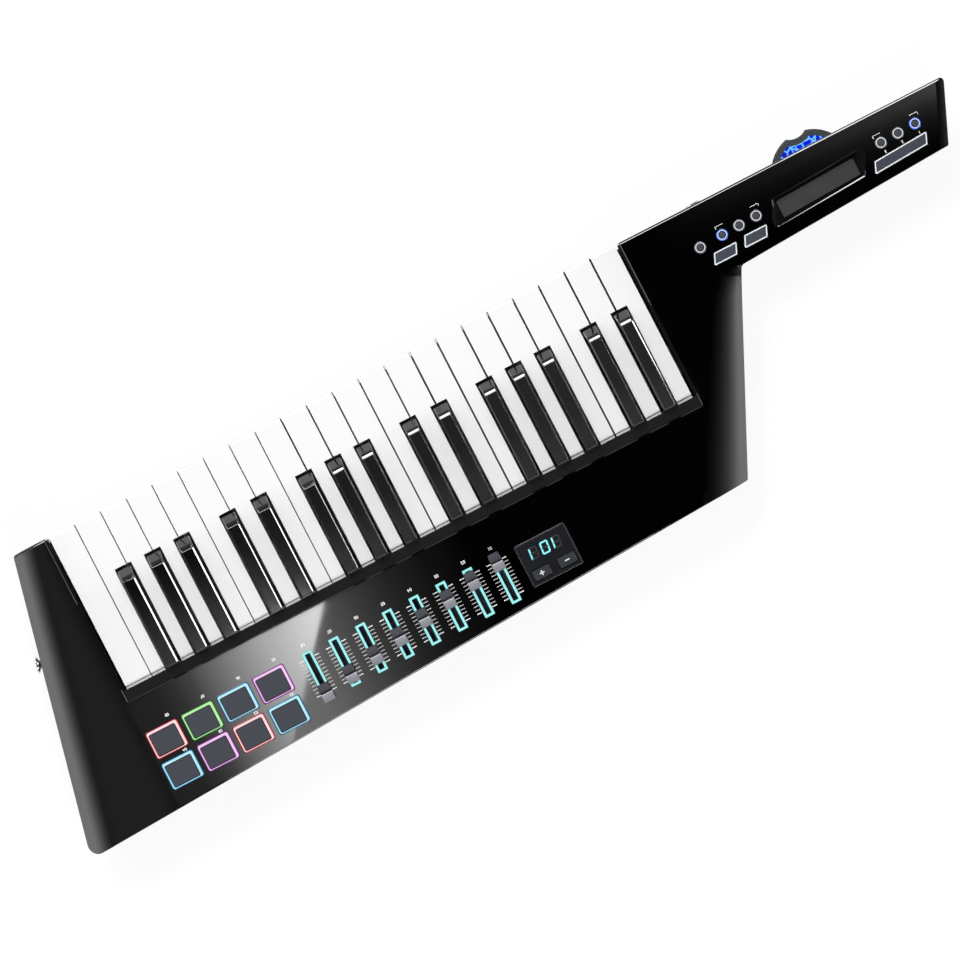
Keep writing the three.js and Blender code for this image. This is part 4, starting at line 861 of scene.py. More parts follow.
for node in WHITE_KEYS:
    middle = middle_of(node)[0]
    borders = [x for x in (middle - KEY_PITCH / 2, middle + KEY_PITCH / 2) if 5 < x < KEYS_WIDE - 5]
    groove = block((-5, GROOVE[0], KEY_TOP - GROOVE[2]), (KEYS_WIDE + 5, GROOVE[1], KEY_TOP + 2))
    notches = [prism([(x + NOTCH * a, 1 + NOTCH * b, 0.02) for a, b in ((-1, 0), (0, -1), (1, 0), (0, 1))],
                     KEY_TOP - NOTCH_DEPTH, KEY_TOP + 7.0) for x in borders]
    gaps = [prism(oblong(x, -69.0, GAPS[int(x >= WIDEST)], 140.0, 0.02), KEY_TOP - REBATE, KEY_TOP + 2)
            for x in borders if x > DARK_GAPS_FROM]
    moulding = carve(cad_copy(node), [groove, join(notches)] + ([join(gaps)] if gaps else []))
    key = piece(node + "_moulding", moulding, [white_abs, side_gap_shade_abs, side_deep_gap_shade_abs], node,
                stands_for=[node], choose=lambda middles, x=middle: key_sides(middles, x))
    rounded(key, KEY_EDGE)
    # Weighted Normal comes last, so that it sees the rounded edges.
    key.modifiers.move(0, len(key.modifiers) - 1)
print("white keys", len(WHITE_KEYS))

# %% [markdown]
# A black key is a tapered cap. Seen from above it shows a dull slope at its front, a narrow
# polished facet that carries the white highlight, the long top, and a chamfer down each side. Such
# a form is a loft: at each place along the key there is one cross-section, so its height follows
# from a list of slopes added up along the key, and its chamfers from that height. One cap is made
# and moved to all fifteen places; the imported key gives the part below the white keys' tops.

# %% Black keys
# Lacquer over black ABS: a wet look, whose clear coat softens the mirror image a little.
black_abs = finish("lacquered_black_abs", "#060607", 0.05, (0.04, 0.065, 15.0), IOR=1.52, Coat_Weight=1.0,
                   Coat_Roughness=0.06, Coat_IOR=1.5)


def loft(places, heights_and_sides, low, rounds):
    """One closed skin along y. Each ring is the outline of the polygon (x, z) that the row gives:
    half-width at the foot, half-width and height at the shoulder, half-width and height at the top."""
    rings = []
    for y, (foot, wide, shoulder, narrow, top) in zip(places, heights_and_sides):
        x = [-foot, foot, wide, narrow, -narrow, -wide]
        z = [low, low, shoulder, top, top, shoulder]
        flat = outline(np.column_stack([x, z, [0.05, 0.05, *rounds, *rounds[::-1]]]), 0, 3)
        rings.append(lifted(flat, y)[:, [0, 2, 1]])
    return skin(rings)


BLACK = dict(front=-50.6, tail=-137.5, top=64.5, base=6.3, shoulder=5.7, chamfer=1.2, crest=1.15)
TAIL_DROP = 0.6
TILTS = np.array([
    # distance behind the front, tilt in degrees: slope, dark round, facet, round, top
    (0.0, 50.5), (5.9, 50.5), (6.3, 37.0), (8.1, 34.0), (8.6, 28.6), (10.1, 28.6), (10.9, 0.0), (60.0, 0.0)])


def black_cap():
    """Heights are the sum of tan(tilt) along the key, let down so that the top is at its height."""
    span = BLACK["front"] - BLACK["tail"]
    s = np.unique(np.concatenate([TILTS[:, 0], np.linspace(*TILTS[[1, 6], 0], 26), [span - TAIL_DROP, span]]))
    s = s[s <= span]
    slope = np.tan(np.radians(np.interp(s, TILTS[:, 0], TILTS[:, 1])))
    height = np.concatenate([[0], np.cumsum(np.diff(s) * (slope[1:] + slope[:-1]) / 2)])
    height += BLACK["top"] - height[-1]
    height[-1] -= TAIL_DROP
    shoulder = height - BLACK["chamfer"]
    lean = (BLACK["base"] - BLACK["shoulder"]) / (BLACK["top"] - BLACK["chamfer"] - KEY_TOP)
    wide = BLACK["base"] - lean * np.maximum(shoulder - KEY_TOP, 0)
    rows = np.column_stack([np.full(len(s), BLACK["base"]), wide, shoulder, wide - BLACK["crest"], height])
    return loft(BLACK["front"] - s, rows, KEY_TOP - 3.0, [0.5, 0.35])


# %% Fifteen black keys


def shifted(shape, by):
    """A shape moved by a step."""
    return shape[0] + by, shape[1]


first = middle_of(BLACK_KEYS[0])[0]
lower = carve(cad_copy(BLACK_KEYS[0]), [block((first - 20, -139.0, KEY_TOP - 2.5), (first + 20, -40, 80))])
# The cap is hollow like the part below it, which leaves room for the guide post of a pressed key.
HALF, ROOF = 3.45, 2.3
pocket = block((first - HALF, -136.0, KEY_TOP - 4.0), (first + HALF, -60.0, BLACK["top"] - ROOF))
cap = carve(shifted(black_cap(), [first, 0, 0]), [pocket])
black_key = shape_of(carve(lower, [cap], "UNION"))
for node in BLACK_KEYS:
    piece(node + "_moulding", shifted(black_key, [middle_of(node)[0] - first, 0, 0]), black_abs, node,
          sharp=24.0, stands_for=[node])
print("black keys", len(BLACK_KEYS), "points each", len(black_key[0]))

# %% [markdown]
# The trim rail closes the key well towards the band. It is a dull strip, a little lower than the
# panel, with small rounded edges. A strip of the same plastic lines the well's side walls beside
# the outer keys.

# %% Trim
# Spark-eroded ABS: it scatters what little light it gets, so it looks flat beside the panel.
trim_abs = finish("dull_black_trim", "#0b0b0e", 0.55, (0.5, 0.65, 10.0), (0.6, 0.02), IOR=1.45,
                  Specular_IOR_Level=0.2)
TRIM_TOP = PANEL - TRIM_DROP + 0.35
strip = oblong(KEYS_WIDE / 2, BAND_TOP + TRIM_WIDE / 2 + 0.35, right - left - 0.8, TRIM_WIDE + 0.3, 0.4)
piece("trim_strip", rounded_plate(strip, PANEL - TRIM_DROP, TRIM_TOP, 0.3), trim_abs)
liners = [rounded_plate(oblong(x, -KEYS_LONG / 2 - 0.6, 0.9, KEYS_LONG - 1.6, 0.2), 44.0, 54.4, 0.35)
          for x in (left + 0.55, right - 0.55)]
piece("well_liners", join(liners), trim_abs)
print("trim top", TRIM_TOP)

# %% [markdown]
# The eight pads are dark silicone keys in one mat, and each stands in a frame of clear silicone
# that a coloured lamp lights from below. A lit frame is pale where it is thick and shows its deep
# colour at its thin outer edge, so its faces get one of two glows by their height.

# %% Lit plastic


def lit(name, colour, level=1.0):
    """Translucent plastic that glows: with a lamp behind it, or, for the unlit rings, as painted light. Its
    glow varies a little, as a lamp's spot does.
    """
    material = finish(name, "#101214", 0.35, IOR=1.41, Emission_Color=linear(colour))
    drift(material, "Emission Strength", level * 0.88, level, 9.0, 2.0)
    return material


def below(height):
    """Chooses number 1 for the faces below a height, 0 for the others."""
    return lambda middles: middles[:, 2] < height


GLOWS = {
    # pale core, deep edge
    "red": ("#ffe8ea", "#d8142a"), "green": ("#c4fab0", "#22902a"),
    "cyan": ("#c2f4fc", "#0a82ba"), "magenta": ("#fbd2fc", "#9a2aa6")}
PAD_COLOURS = ["red", "green", "cyan", "magenta", "cyan", "magenta", "red", "cyan"]
FRAME_TOP = PANEL + 0.45

# %% Pads
# Silicone from a blasted mould: soft and dull, with a faint bloom that the grain gives.
pad_silicone = finish("moulded_grey_silicone", "#3a3d46", 0.62, (0.55, 0.7, 14.0), (0.7, 0.015), IOR=1.43)

mat_top = UNDER - 0.3
mat = rounded_plate(oblong(PAD_XS.mean(), PAD_YS.mean(), 130.0, 56.4, 1.0), mat_top - 1.4, mat_top, 0.2)
# The pads stand a little off the middles of their windows, each in a frame that clears it.
PADS = [(x - 0.55, y - 0.65) for y in PAD_YS for x in PAD_XS]
PAD, FRAME_INNER, FRAME_OUTER = (22.6, 18.5, 1.1), (23.7, 19.6, 1.4), (28.0, 23.4, 2.2)
tops = [rounded_plate(oblong(*at, *PAD), mat_top - 0.2, PANEL + 1.6, 0.5) for at in PADS]
piece("pads", join([mat, *tops]), pad_silicone, stands_for=["pad_mat"])


def frame_ring(outer, inner, rim, top, low):
    """A closed ring between two outlines: upright outside from low, a slope as wide as rim up to the
    top, level to the inner outline, and down again."""
    rings = [(outer, 0, low), (outer, 0, PANEL + 0.05), (outer, rim, top - 0.1), (outer, rim + 0.1, top),
             (inner, -0.15, top), (inner, 0, PANEL - 0.2), (inner, 0, low)]
    return skin([lifted(outline(shape, inset), z) for shape, inset, z in rings], loop=True)


windows = [oblong(x, y, *FRAME_OUTER) for y in PAD_YS for x in PAD_XS]
for name, (pale, deep) in GLOWS.items():
    shapes = [frame_ring(window, oblong(*at, *FRAME_INNER), 0.6, FRAME_TOP, mat_top - 0.1)
              for window, at, colour in zip(windows, PADS, PAD_COLOURS) if colour == name]
    glow = [lit(f"silicone_lit_{name}", pale), lit(f"silicone_edge_{name}", deep, 0.9)]
    piece(f"pad_frames_{name}", join(shapes), glow, sharp=60.0,
          choose=below(FRAME_TOP - 0.07))
print("pads", len(tops))

# %% [markdown]
# Each fader runs in a slot that a lit guide frames, beside a printed scale of eleven ticks. The
# guide is a flat ring glued on the panel. The ticks are ink a few hundredths of a millimetre
# thick; they are real thin blocks here, so that they stay in the exported meshes.

# %% Fader guides and scales
INK = 0.06
guide_glow = [lit("guide_lit_cyan", "#a4f8f8"), lit("guide_edge_teal", "#1d6a70", 0.9)]
guides = [frame_ring(oblong(x, FADER_Y, 8.9, 42.8, 0.6), oblong(x, FADER_Y, 4.3, 38.5, 0.4), 0.2,
                     PANEL + 0.3, PANEL - 0.1) for x in FADER_XS]
piece("fader_guides", join(guides), guide_glow, sharp=60.0, choose=below(PANEL + 0.22))


def mark(x, y, width, depth):
    """A printed block on the panel."""
    return prism(oblong(x, y, width, depth, min(width, depth) * 0.2), PANEL - 0.02, PANEL + INK)


# Screen ink: an opaque, even film without sheen.
white_ink = finish("white_screen_ink", "#f2f2f0", 0.6, (0.5, 0.7, 8.0))
grey_ink = finish("grey_screen_ink", "#d6d4d2", 0.6, (0.5, 0.7, 5.0))
TICKS, TICK_PITCH, TICK_LONG = 11, 3.12, 4.3
tick_ys = FADER_Y + (np.arange(TICKS) - (TICKS - 1) / 2) * TICK_PITCH
sides = [x + s * (4.75 + TICK_LONG / 2) for x in FADER_XS for s in (-1, 1)]
for name, ink, ys, depth in (("scale_ends", white_ink, tick_ys[[0, -1]], 0.85),
                             ("scale_ticks", grey_ink, tick_ys[1:-1], 0.6)):
    piece(name, join([mark(x, y, TICK_LONG, depth) for x in sides for y in ys]), ink)
print("ticks", TICKS * len(sides))

# %% [markdown]
# A fader cap has a half that tapers away from the player, a groove for the finger, and a half that slopes
# towards the player. It is one grey plastic, painted darker on the first half as its shade and paler on the
# second as its light, darker in the groove as its shade, and with a thin pale painted highlight along the
# edge of the groove. It is a loft again, through a list of half-widths and heights along the cap.

# %% Fader caps
CAP_LOW = PANEL + 0.7
CAP_PROFILE = np.array([
    # along the cap from the player's side, half-width, height over the cap's foot
    (-7.8, 4.6, 4.3), (-7.6, 4.85, 5.3), (-7.0, 5.05, 6.0), (-4.0, 5.1, 6.1), (-1.2, 5.1, 6.8),
    (-0.65, 5.1, 6.9), (-0.45, 5.0, 5.5), (1.1, 5.0, 5.5), (1.4, 5.05, 7.2), (1.9, 5.05, 8.0),
    (4.5, 4.8, 8.15), (6.9, 4.45, 7.8), (7.5, 4.25, 7.2), (7.8, 4.0, 6.0)])
# Satin ABS, worn smoother where the finger pushes. Its halves are painted darker and paler as shade and
# light, the groove darker as its shade and the thin line pale as a highlight; the line and the groove are
# dull.
CAP_FINISHES = [
    finish("abs_cap_painted_shade", "#3a3a43", 0.45, (0.4, 0.55, 6.0), (0.5, 0.01)),
    finish("groove_painted_shade", "#2c2c33", 0.6, (0.5, 0.7, 4.0)),
    finish("line_painted_highlight", "#dcdde2", 0.5, (0.4, 0.6, 4.0)),
    finish("abs_cap_painted_light", "#85878f", 0.4, (0.35, 0.5, 6.0), (0.5, 0.01))]


def fader_cap():
    """Rings at the profile's places and between them, with rounded upper corners, and the lever."""
    along, half, tall = CAP_PROFILE.T
    y = np.unique([*along, *np.linspace(-6.8, -1.3, 6), *np.linspace(2.0, 6.5, 6)])
    wide, high = np.interp(y, along, half), np.interp(y, along, tall) + CAP_LOW
    cap = loft(y, np.column_stack([wide, wide, high - 1.0, wide - 0.45, high]), CAP_LOW, [0.5, 0.4])
    return join([cap, rounded_plate(oblong(0, 0, 1.6, 5.0, 0.2), PANEL - 10.5, CAP_LOW + 0.3, 0.1)])


def cap_parts(y):
    """Numbers 0 painted shade, 1 the groove's painted shade, 2 the painted highlight line and 3 painted
    light, by the place along the cap.
    """
    return np.select([y > 1.15, y > -0.5, y > -0.95], [0, 1, 2], 3)


cap = fader_cap()
for node in [f"fader_{number:02d}" for number in range(1, 9)]:
    x, y = middle_of(node)[:2]
    piece(node + "_cap", shifted(cap, [x, y, 0]), CAP_FINISHES, node, stands_for=[node],
          choose=lambda middles, y=y: cap_parts(middles[:, 1] - y))
print("fader caps", len(FADER_XS))

# %% [markdown]
# The display is a smoked lens let into the panel, with seven-segment digits behind it. Each digit
# is seven bars; the lit ones glow, and the others show as faint ghosts. It reads the right way up
# for the player, so the whole display is turned by half a turn for the camera.

# %% Display
# Smoked acrylic: darker than the panel's mirror image, with a slightly softer one of its own.
lens_acrylic = finish("smoked_acrylic_lens", "#1c1d22", 0.12, (0.1, 0.16, 20.0), IOR=1.49)
# A lit segment is pale and saturated at once; an unlit one only a shade lighter than the lens.
digit_lit = lit("segment_lit_cyan", "#8cf8fa", 1.15)
digit_ghost = finish("segment_unlit", "#26272d", 0.4, (0.35, 0.5, 5.0))
LENS_TOP = PANEL + 0.05
lens_plate = plate(LENS, [0.15, 0.15, 0.7, 0.9],
                   [PANEL - LENS_DROP, LENS_TOP - 0.33, LENS_TOP - 0.03, LENS_TOP])
PROGRAM_BUTTONS = ["program_plus_button", "program_minus_button"]
program = [mouth(BUTTONS[name], 0.3, PANEL - CLEAR, BUTTON_GAP) for name in PROGRAM_BUTTONS]
piece("display_lens", carve(lens_plate, program), lens_acrylic, sharp=20.0)

# %% Digits
DIGIT_WIDE, DIGIT_HIGH, BAR, SLANT = 7.2, 10.5, 1.4, 0.1
DIGIT_XS, DIGIT_Y = [344.2, 354.3, 364.7], BAND_TOP - 43.6
DIGITS = ["bc", "abcdef", "bc"]
BARS = {
    # middle x and y in shares of the digit, and whether the bar lies or stands
    "a": (0, 1, True), "b": (1, 0.5, False), "c": (1, -0.5, False), "d": (0, -1, True),
    "e": (-1, -0.5, False), "f": (-1, 0.5, False), "g": (0, 0, True)}


def bar(name, x):
    """A six-sided bar of the digit at x, pointed at both ends: a thin block on the lens, sheared
    along the row by its height and turned by half a turn."""
    sx, sy, lies = BARS[name]
    wide, high = DIGIT_WIDE - BAR, DIGIT_HIGH - BAR
    reach = (wide if lies else high / 2) / 2 + 0.25
    half = np.array([(-reach, 0), (BAR / 3 - reach, -BAR / 2), (reach - BAR / 3, -BAR / 2)])
    shape = np.vstack([half, -half])
    shape = shape if lies else shape[:, ::-1] * [-1, 1]
    shape = shape + [sx * wide / 2, sy * high / 2]
    shape[:, 0] += shape[:, 1] * SLANT
    return skin([lifted([x, DIGIT_Y] - shape, z) for z in (LENS_TOP - 0.02, LENS_TOP + INK)])


for name, material, shown in (("display_digits", digit_lit, True), ("display_ghosts", digit_ghost, False)):
    shapes = [bar(letter, x) for x, letters in zip(DIGIT_XS, DIGITS) for letter in BARS
              if (letter in letters) == shown]
    piece(name, join(shapes), material)
    print(name, len(shapes))

# %% [markdown]
# The push buttons are silicone caps with a pale printed outline round a sunk grey face. The packed
# buttons give the flange and the stem; the cap above the panel is made anew, as a stack of the
# same rounded outline at several insets. A plus and a minus are raised on the two at the display.

# %% Push buttons
# Silicone caps: dull like the pads, a little shinier from use. The ink on them has a faint glow of painted
# light that brightens it.
button_silicone = finish("grey_button_silicone", "#3a3f4a", 0.5, (0.45, 0.6, 8.0), (0.6, 0.015), IOR=1.43)
key_silicone = finish("dark_button_silicone", "#26292e", 0.45, (0.4, 0.55, 8.0), (0.6, 0.015), IOR=1.43)
outline_ink = finish("pale_ink_painted_glow", "#dfe2e6", 0.5, (0.4, 0.6, 6.0),
                     Emission_Color=linear("#dfe2e6"), Emission_Strength=0.25)
BUTTON_TOP, FACE_TOP = PANEL + 0.8, PANEL + 0.45


def new_cap(node, insets, heights, material, choose=None):
    """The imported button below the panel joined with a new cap, a stack of its outline."""
    x, y = middle_of(node)[:2]
    above = block((x - 40, y - 40, PANEL - 4.0), (x + 40, y + 40, PANEL + 10))
    shape = carve(carve(cad_copy(node), [above]), [plate(BUTTONS[node], insets, heights, 5)], "UNION")
    piece(node + "_cap", shape, material, node, stands_for=[node], choose=choose)


for node in ("octave_up_button", "octave_down_button", "sustain_button"):
    new_cap(node, [0, 0, 0.25, 0.95, 1.05, 1.05],
            [PANEL - 4.5, PANEL + 0.35, BUTTON_TOP - 0.05, BUTTON_TOP, FACE_TOP + 0.1, FACE_TOP],
            [button_silicone, outline_ink], lambda middles: middles[:, 2] > FACE_TOP + 0.02)

SIGNS = [[(4.3, 1.0), (1.0, 4.3)], [(4.3, 1.0)]]
for node, bars in zip(PROGRAM_BUTTONS, SIGNS):
    new_cap(node, [0.25, 0.25, 0.4, 0.85, 1.05],
            [PANEL - 4.5, PANEL - 0.2, PANEL + 0.05, BUTTON_TOP - 0.1, BUTTON_TOP], key_silicone)
    x, y = BUTTONS[node][:, :2].mean(axis=0)
    sign = [plate(oblong(x, y, *size, 0.25), [0, 0, 0.1],
                  [BUTTON_TOP - 0.1, BUTTON_TOP + 0.08, BUTTON_TOP + 0.16], 3) for size in bars]
    piece(node + "_sign", join(sign), white_ink, node)
print("push buttons", len(BUTTONS))

# %% [markdown]
# The seven round buttons of the neck each have a dark middle in a ring that can light up. A ring is a body of
# revolution, so one profile of radius and height is turned about each middle. Two of them are lit blue-white;
# the rest are unlit, and their pale glow is painted light, with a greyer painted glow on the ring's outer
# edge as its shade.

# %% Round buttons of the neck
BOARD_TOP = 47.6
RING_PROFILE = np.array([
    # radius, height
    (0.0, BOARD_TOP + 2.0), (4.4, BOARD_TOP + 2.0), (4.4, PANEL + 0.1), (4.2, PANEL + 0.35),
    (3.85, PANEL + 0.4), (3.5, PANEL + 0.4), (3.3, PANEL + 0.2), (3.25, PANEL - 0.8), (2.55, PANEL - 0.8),
    (2.5, PANEL + 0.5), (2.3, PANEL + 0.7), (1.2, PANEL + 0.8), (0.0, PANEL + 0.8)])


def turned(profile, x, y, count=48):
    """A profile of radius and height turned about an upright axis."""
    angle = np.linspace(0, 2 * np.pi, count, endpoint=False)[:, None]
    radius, height = profile[:, 0], profile[:, 1]
    rings = np.stack([x + radius * np.cos(angle), y + radius * np.sin(angle),
                      np.broadcast_to(height, (count, len(profile)))], axis=-1)
    return skin(rings, loop=True)


def ring_parts(middles):
    """Numbers 0 grey middle, 1 black groove, 2 ring and 3 its outer edge, by the distance from the
    nearest middle."""
    away = np.hypot(*(middles[:, None, :2] - KNOBS[None]).transpose(2, 0, 1)).min(axis=1)
    return np.select([away < 2.54, away < 3.28, away < 4.0], [0, 1, 2], 3)


def tones(*stops):
    """The stops of a ramp of hex colours."""
    return {"stops": [(place, linear(code)) for place, code in stops]}


# Clear polycarbonate over a white base: it looks milky, and blue-white where a lamp is on. Where none is on,
# the glow is painted light: pale on the ring and greyer on its outer edge as its shade.
for name, chosen, ring, edge in (
        ("round_buttons", [0, 2, 3, 4, 5], lit("ring_painted_glow_polycarbonate", "#eef0f2"),
         lit("ring_edge_painted_glow_polycarbonate", "#a6aab0", 0.9)),
        ("lit_round_buttons", [1, 6], lit("ring_lit_blue_white", "#d4e4ff", 1.3),
         lit("ring_edge_lit_blue", "#5b8bff", 1.2))):
    piece(name, join([turned(RING_PROFILE, *KNOBS[k]) for k in chosen]),
          [button_silicone, matte_abs, ring, edge], sharp=40.0, choose=ring_parts)

# %% The neck's board
# Solder mask over copper: dark and half shiny, with tracks that show through as paler lines.
circuit = finish("blue_black_solder_mask", "#14151f", 0.35)
tree, sockets = inside(circuit)
cells = add(tree, "TexVoronoi", {"feature": "DISTANCE_TO_EDGE"}, {
    "Vector": add(tree, "TexCoord", output="Object"), "Scale": 1000 / 5.0}, "Distance")
tracks = add(tree, "ValToRGB", tones((0.0, "#2d3045"), (0.09, "#20222f"), (0.11, "#14151f")), {"Fac": cells})
tree.links.new(tracks, sockets["Base Color"])
board = carve(cad_copy("neck_board"), [block((540, -80, BOARD_TOP + 3.0), (830, 20, 70))])
piece("neck_circuit", board, circuit, stands_for=["neck_board"])
print("round buttons", len(KNOBS))

# %% [markdown]
# The ribbon is a strip of textured film at the bottom of its recess, which senses a finger. Thin
# printed brackets join the rows of round buttons, and plain numbers mark pads, faders and banks.
# They read for the player, so they stand on their heads for the camera.

# %% Ribbon, brackets and numbers
# Embossed polyester film: grey and dull, and the thumb's path along it is a little smoother.
film = finish("textured_ribbon_film", "#323233", 0.5, (0.42, 0.58, 16.0), (0.6, 0.02), IOR=1.45)
FLOOR = PANEL - RIBBON_SINK
middle = RIBBON_FLOOR.mean(axis=0)
strip = middle + (RIBBON_FLOOR - middle) * 0.985
piece("ribbon_film", rounded_plate(strip, FLOOR - 0.02, FLOOR + 0.3, 0.15), film)

BRACKETS = [
    # left x, right x, height of the line at the middle
    (594.9, 634.7, -23.9), (741.9, 783.0, -17.1)]
LINE, HOOK, STUB, RISE = 0.5, 2.2, 7.0, 0.038
shapes = []
for x0, x1, y in BRACKETS:
    for x, toward in ((x0, 1), (x1, -1)):
        level = y + (x - (x0 + x1) / 2) * RISE
        shapes += [mark(x + toward * STUB / 2, level, STUB, LINE), mark(x, level - HOOK / 2, LINE, HOOK)]
piece("brackets", join(shapes), white_ink)


# %% Numbers


def number_shape(text, x, y, size):
    """A number from Blender's own font as a thin block, turned by half a turn about its place."""
    curve = bpy.data.curves.new("number", "FONT")
    curve.body, curve.align_x, curve.align_y, curve.extrude = text, "CENTER", "CENTER", 0.01
    curve.resolution_u, curve.offset = 3, 0.035
    item = placed("number", curve)
    bpy.context.view_layer.update()
    mesh = bpy.data.meshes.new_from_object(item.evaluated_get(bpy.context.evaluated_depsgraph_get()))
    points, faces = shape_of(mesh)
    bpy.data.objects.remove(item)
    low = points[:, 2].min()
    flat = [x, y] - points[:, :2] * size
    return np.column_stack([flat, PANEL - 0.02 + (points[:, 2] > low + 0.005) * (INK + 0.02)]), faces


PAD_NUMBER, FADER_NUMBER = 3.4, 3.6
numbers = [number_shape(f"{8 - k - 4 * row:02d}", x + 9.0, y + 17.6 - 3.7 * row, PAD_NUMBER)
           for row, y in enumerate(PAD_YS) for k, x in enumerate(PAD_XS)]
numbers += [number_shape(f"{8 - k:02d}", x, FADER_Y + 27.4, FADER_NUMBER) for k, x in enumerate(FADER_XS)]
numbers += [number_shape(str(3 - k), x, y - 8.0, 3.2) for k, (x, y) in enumerate(KNOBS[4:])]
piece("numbers", join(numbers), white_ink, sharp=60.0)
print("numbers", len(numbers))

# %% [markdown]
# The pitch wheel is a disc that a thumb turns: a grey rim with a finger notch round a web that
# glows blue, with paler veins of light in it. Rim, web and ribs are turned profiles and plain
# blocks, and Booleans cut the notch; the web is cut back further, so that the rim keeps its width.

# %% Pitch wheel
WHEEL_RIM, WHEEL_HUB, WHEEL_BORE, GRIP, GRIP_DEPTH, SPOKES = 5.2, 8.0, 3.3, 14.8, 4.0, 9
# Satin ABS: the rim shows a broad soft highlight.
wheel_rim = finish("dark_grey_wheel_abs", "#4a4e52", 0.35, (0.3, 0.45, 10.0), (0.6, 0.01))
# A light guide: deep blue, with paler veins about 6 mm apart that a noise bends.
veined = finish("web_lit_blue", "#05060c", 0.25, Emission_Strength=1.0)
tree, sockets = inside(veined)
place = add(tree, "TexCoord", output="Object")
warp = add(tree, "TexNoise", feeds={"Vector": place, "Scale": 1000 / 14.0, "Detail": 1.0}, output="Color")
bent = add(tree, "VectorMath", {"operation": "MULTIPLY_ADD"}, {0: warp, 1: (0.006, 0.006, 0.0), 2: place})
cells = add(tree, "TexVoronoi", {"feature": "DISTANCE_TO_EDGE", "voronoi_dimensions": "2D"}, {
    "Vector": bent, "Scale": 1000 / 6.0, "Randomness": 0.8}, "Distance")
veins = add(tree, "ValToRGB", tones((0.0, "#9fe6ff"), (0.06, "#4fb4ff"), (0.14, "#1c3cf0"),
                                    (0.30, "#0d0dd8"), (0.6, "#0808a8")), {"Fac": cells})
tree.links.new(veins, sockets["Emission Color"])
ribs_glow = lit("ribs_lit_pale_blue", "#7fd0ff")


def annulus(inner, outer, low, high, edge, count=96):
    """A ring about the wheel's axle whose outer edges are quarter rounds of radius edge."""
    inset, drop = quarter(edge)
    bottom = np.column_stack([outer - inset, low - drop])[::-1]
    top = np.column_stack([outer - inset, high + drop])
    return turned(np.vstack([[inner, low], bottom, top, [inner, high]]), *WHEEL, count)


def grip(radius):
    """The cutter of the finger notch, a drum whose middle lies above the rim."""
    return drum(WHEEL + [0, WHEEL_RADIUS - GRIP_DEPTH + GRIP], radius, WHEEL_LOW - 2, WHEEL_TOP + 2)


# %% Rim, hub, web and ribs
inner_radius = WHEEL_RADIUS - WHEEL_RIM
core = carve(drum(WHEEL, inner_radius, WHEEL_LOW - 1, WHEEL_TOP + 1), [grip(GRIP + WHEEL_RIM)])
rim = carve(annulus(WHEEL_BORE, WHEEL_RADIUS, WHEEL_LOW, WHEEL_TOP, 1.0), [core, grip(GRIP)])
# The rim's outer rounded edge takes the black matte finish: a dark outline of painted shade.
piece("pitch_wheel_rim", rim, [wheel_rim, matte_abs], "pitch_wheel", stands_for=["pitch_wheel"],
      choose=lambda middles: np.hypot(*(middles[:, :2] - WHEEL).T) > WHEEL_RADIUS - 0.8)
hub = annulus(WHEEL_BORE, WHEEL_HUB, WHEEL_LOW, WHEEL_TOP, 0.6, 48)
web = annulus(WHEEL_HUB - 0.4, inner_radius + 0.3, WHEEL_LOW + 1.5, WHEEL_TOP - 1.5, 0.3)
SPOKE_MIDDLE = 17.6
points, faces = plate(oblong(SPOKE_MIDDLE, 0, inner_radius - WHEEL_HUB + 0.6, 0.9, 0.2), [0, 0, 0.2],
                      [WHEEL_TOP - 2.6, WHEEL_TOP - 1.2, WHEEL_TOP - 1.0], 2)
ribs = []
for turn in 2 * np.pi * (np.arange(SPOKES) + 0.5) / SPOKES:
    flat = points[:, :2] @ [[np.cos(turn), np.sin(turn)], [-np.sin(turn), np.cos(turn)]]
    ribs.append((np.column_stack([flat + WHEEL, points[:, 2]]), faces))
notch = grip(GRIP + WHEEL_RIM - 0.3)
for name, shape, material in (("hub", hub, wheel_rim), ("web", carve(web, [notch]), veined),
                              ("ribs", carve(join(ribs), [notch]), ribs_glow)):
    piece("pitch_wheel_" + name, shape, material, "pitch_wheel")
print("wheel radius", WHEEL_RADIUS)

# %% [markdown]
# The strap buttons are turned from steel and plated with chrome: a foot, a waist that the strap's
# slit closes on, and a domed head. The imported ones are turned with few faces, so their profile is
# turned again with many, about the same axes.

# %% Strap buttons
# Chrome: a bright, nearly perfect mirror that is mostly dark here, since it shows the room.
chrome = finish("chrome_plated_steel", "#dfe1e4", 0.06, (0.04, 0.12, 5.0), Metallic=1.0)
STRAP_PROFILE = np.array([
    # radius, height along the axis
    (0.0, -5.7), (2.0, -5.7), (2.0, 0.3), (5.4, 0.3), (5.4, 1.0), (5.1, 1.5), (3.6, 3.0), (3.0, 4.2),
    (3.0, 6.2), (3.8, 7.2), (6.6, 8.4), (7.1, 8.9), (7.2, 9.5), (7.0, 10.0), (6.2, 10.6), (5.2, 11.0),
    (2.4, 11.0), (2.2, 10.6), (0.0, 10.6)])


def strap_button(at, outwards):
    """The profile turned about the z axis, then laid along the outward direction."""
    points, faces = turned(STRAP_PROFILE, 0.0, 0.0)
    outwards = np.asarray(outwards, float) / np.linalg.norm(outwards)
    side = np.cross([0, 0, 1], outwards)
    return points @ np.array([side, [0, 0, 1], outwards]) + at, faces


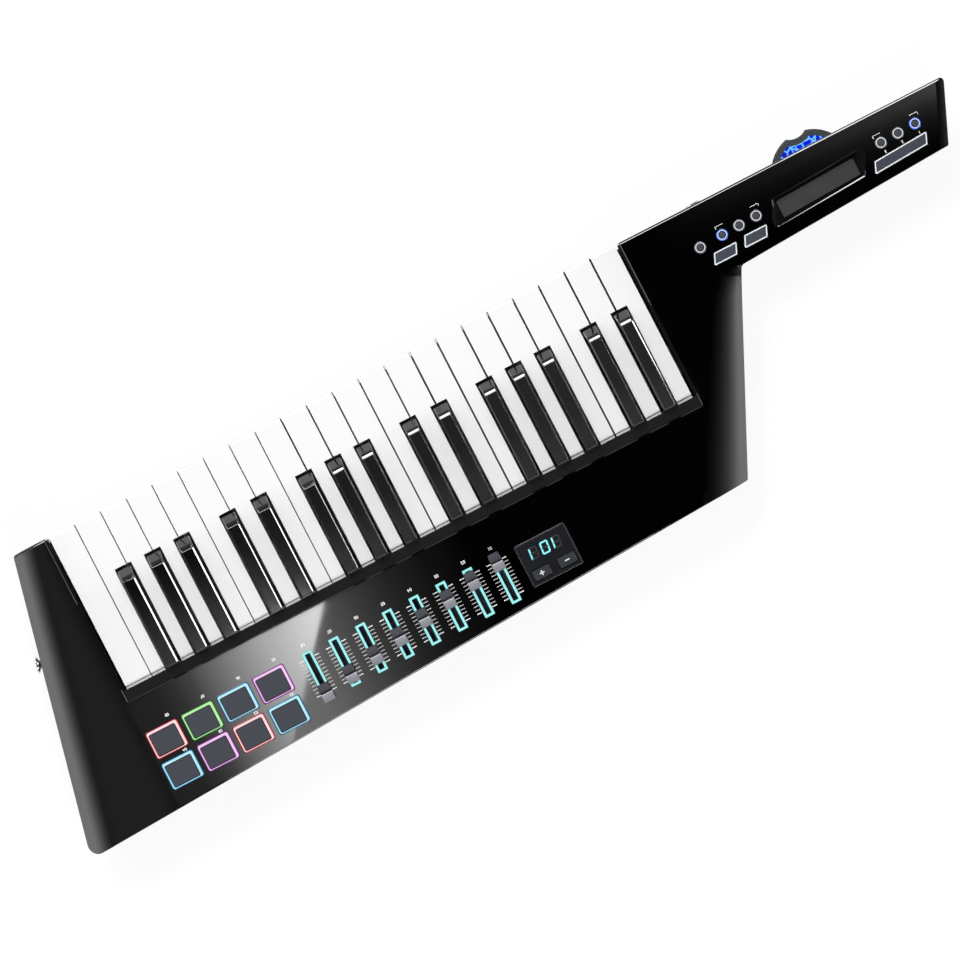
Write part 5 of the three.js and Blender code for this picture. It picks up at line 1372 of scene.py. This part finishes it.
cheek_way = CASE[1, :2] - CASE[0, :2]
cheek_way /= np.linalg.norm(cheek_way)
cheek_in = np.array([-cheek_way[1], cheek_way[0]])
END_ALONG, END_SUNK = 91.5, 2.85
end_at = CASE[0, :2] + cheek_way * END_ALONG + cheek_in * END_SUNK
for end, at, outwards in (("end", [*end_at, 21.0], [*-cheek_in, 0]),
                          ("neck", [KEYS_WIDE + 75.6, -7.3, 9.4], [0, 1, 0])):
    node = "strap_button_" + end
    piece(node + "_chrome", strap_button(at, outwards), chrome, stands_for=[node])
print("strap buttons at", end_at)

# %% [markdown]
# The back shell, the battery door and the inner pieces keep their packed forms and get finishes
# and small rounded edges. Six pan-head screws with a cross recess close the case from the back.

# %% Back, inside and screws
# Zinc on sheet steel: a cool grey whose crystals, about 6 mm across, each have their own tone.
zinc = finish("zinc_plated_sheet_steel", "#8d9094", 0.4, (0.3, 0.5, 8.0), Metallic=1.0)
tree, sockets = inside(zinc)
spangle = add(tree, "TexVoronoi", feeds={
    "Vector": add(tree, "TexCoord", output="Object"), "Scale": 1000 / 6.0}, output="Color")
tone = add(tree, "SeparateColor", feeds={"Color": spangle})
tone = add(tree, "ValToRGB", tones((0.0, "#7e8185"), (1.0, "#a2a5a9")), {"Fac": tone})
tree.links.new(tone, sockets["Base Color"])
dress("rear_housing", grained_abs, 0.6)
dress("battery_door", grained_abs, 0.3)
dress("keybed_chassis", zinc, 0.2, 1)
dress("main_board", circuit, 0.15, 1)

# Oiled black oxide on steel: nearly black, with a soft metal sheen.
screw_steel = finish("black_oxide_screw_steel", "#3b3c3f", 0.35, (0.3, 0.5, 2.0), Metallic=1.0)
SCREW_PROFILE = np.array([
    # radius, height over the face of the back at the screw
    (0.0, 3.2), (2.6, 3.2), (2.9, 2.8), (2.9, 2.2), (2.4, 1.6), (1.4, 1.3), (0.0, 1.2)])
FLOORS = [
    # x, y, height of that face
    (-14.6, -19.4, 0.0), (-32.7, -197.95, 0.0), (403.4, -183.5, 0.0), (539.4, -147.9, 0.0),
    (539.4, -19.4, 0.0), (795.35, -26.15, 24.0)]
heads = [shifted(turned(SCREW_PROFILE, x, y, 32), [0, 0, floor]) for x, y, floor in FLOORS]
cross = [join([prism(oblong(x, y, *size, 0.1), floor, floor + 2.0) for x, y, floor in FLOORS])
         for size in ((3.0, 0.7), (0.7, 3.0))]
piece("case_screws", carve(join(heads), cross), screw_steel)
print("screws", len(heads))
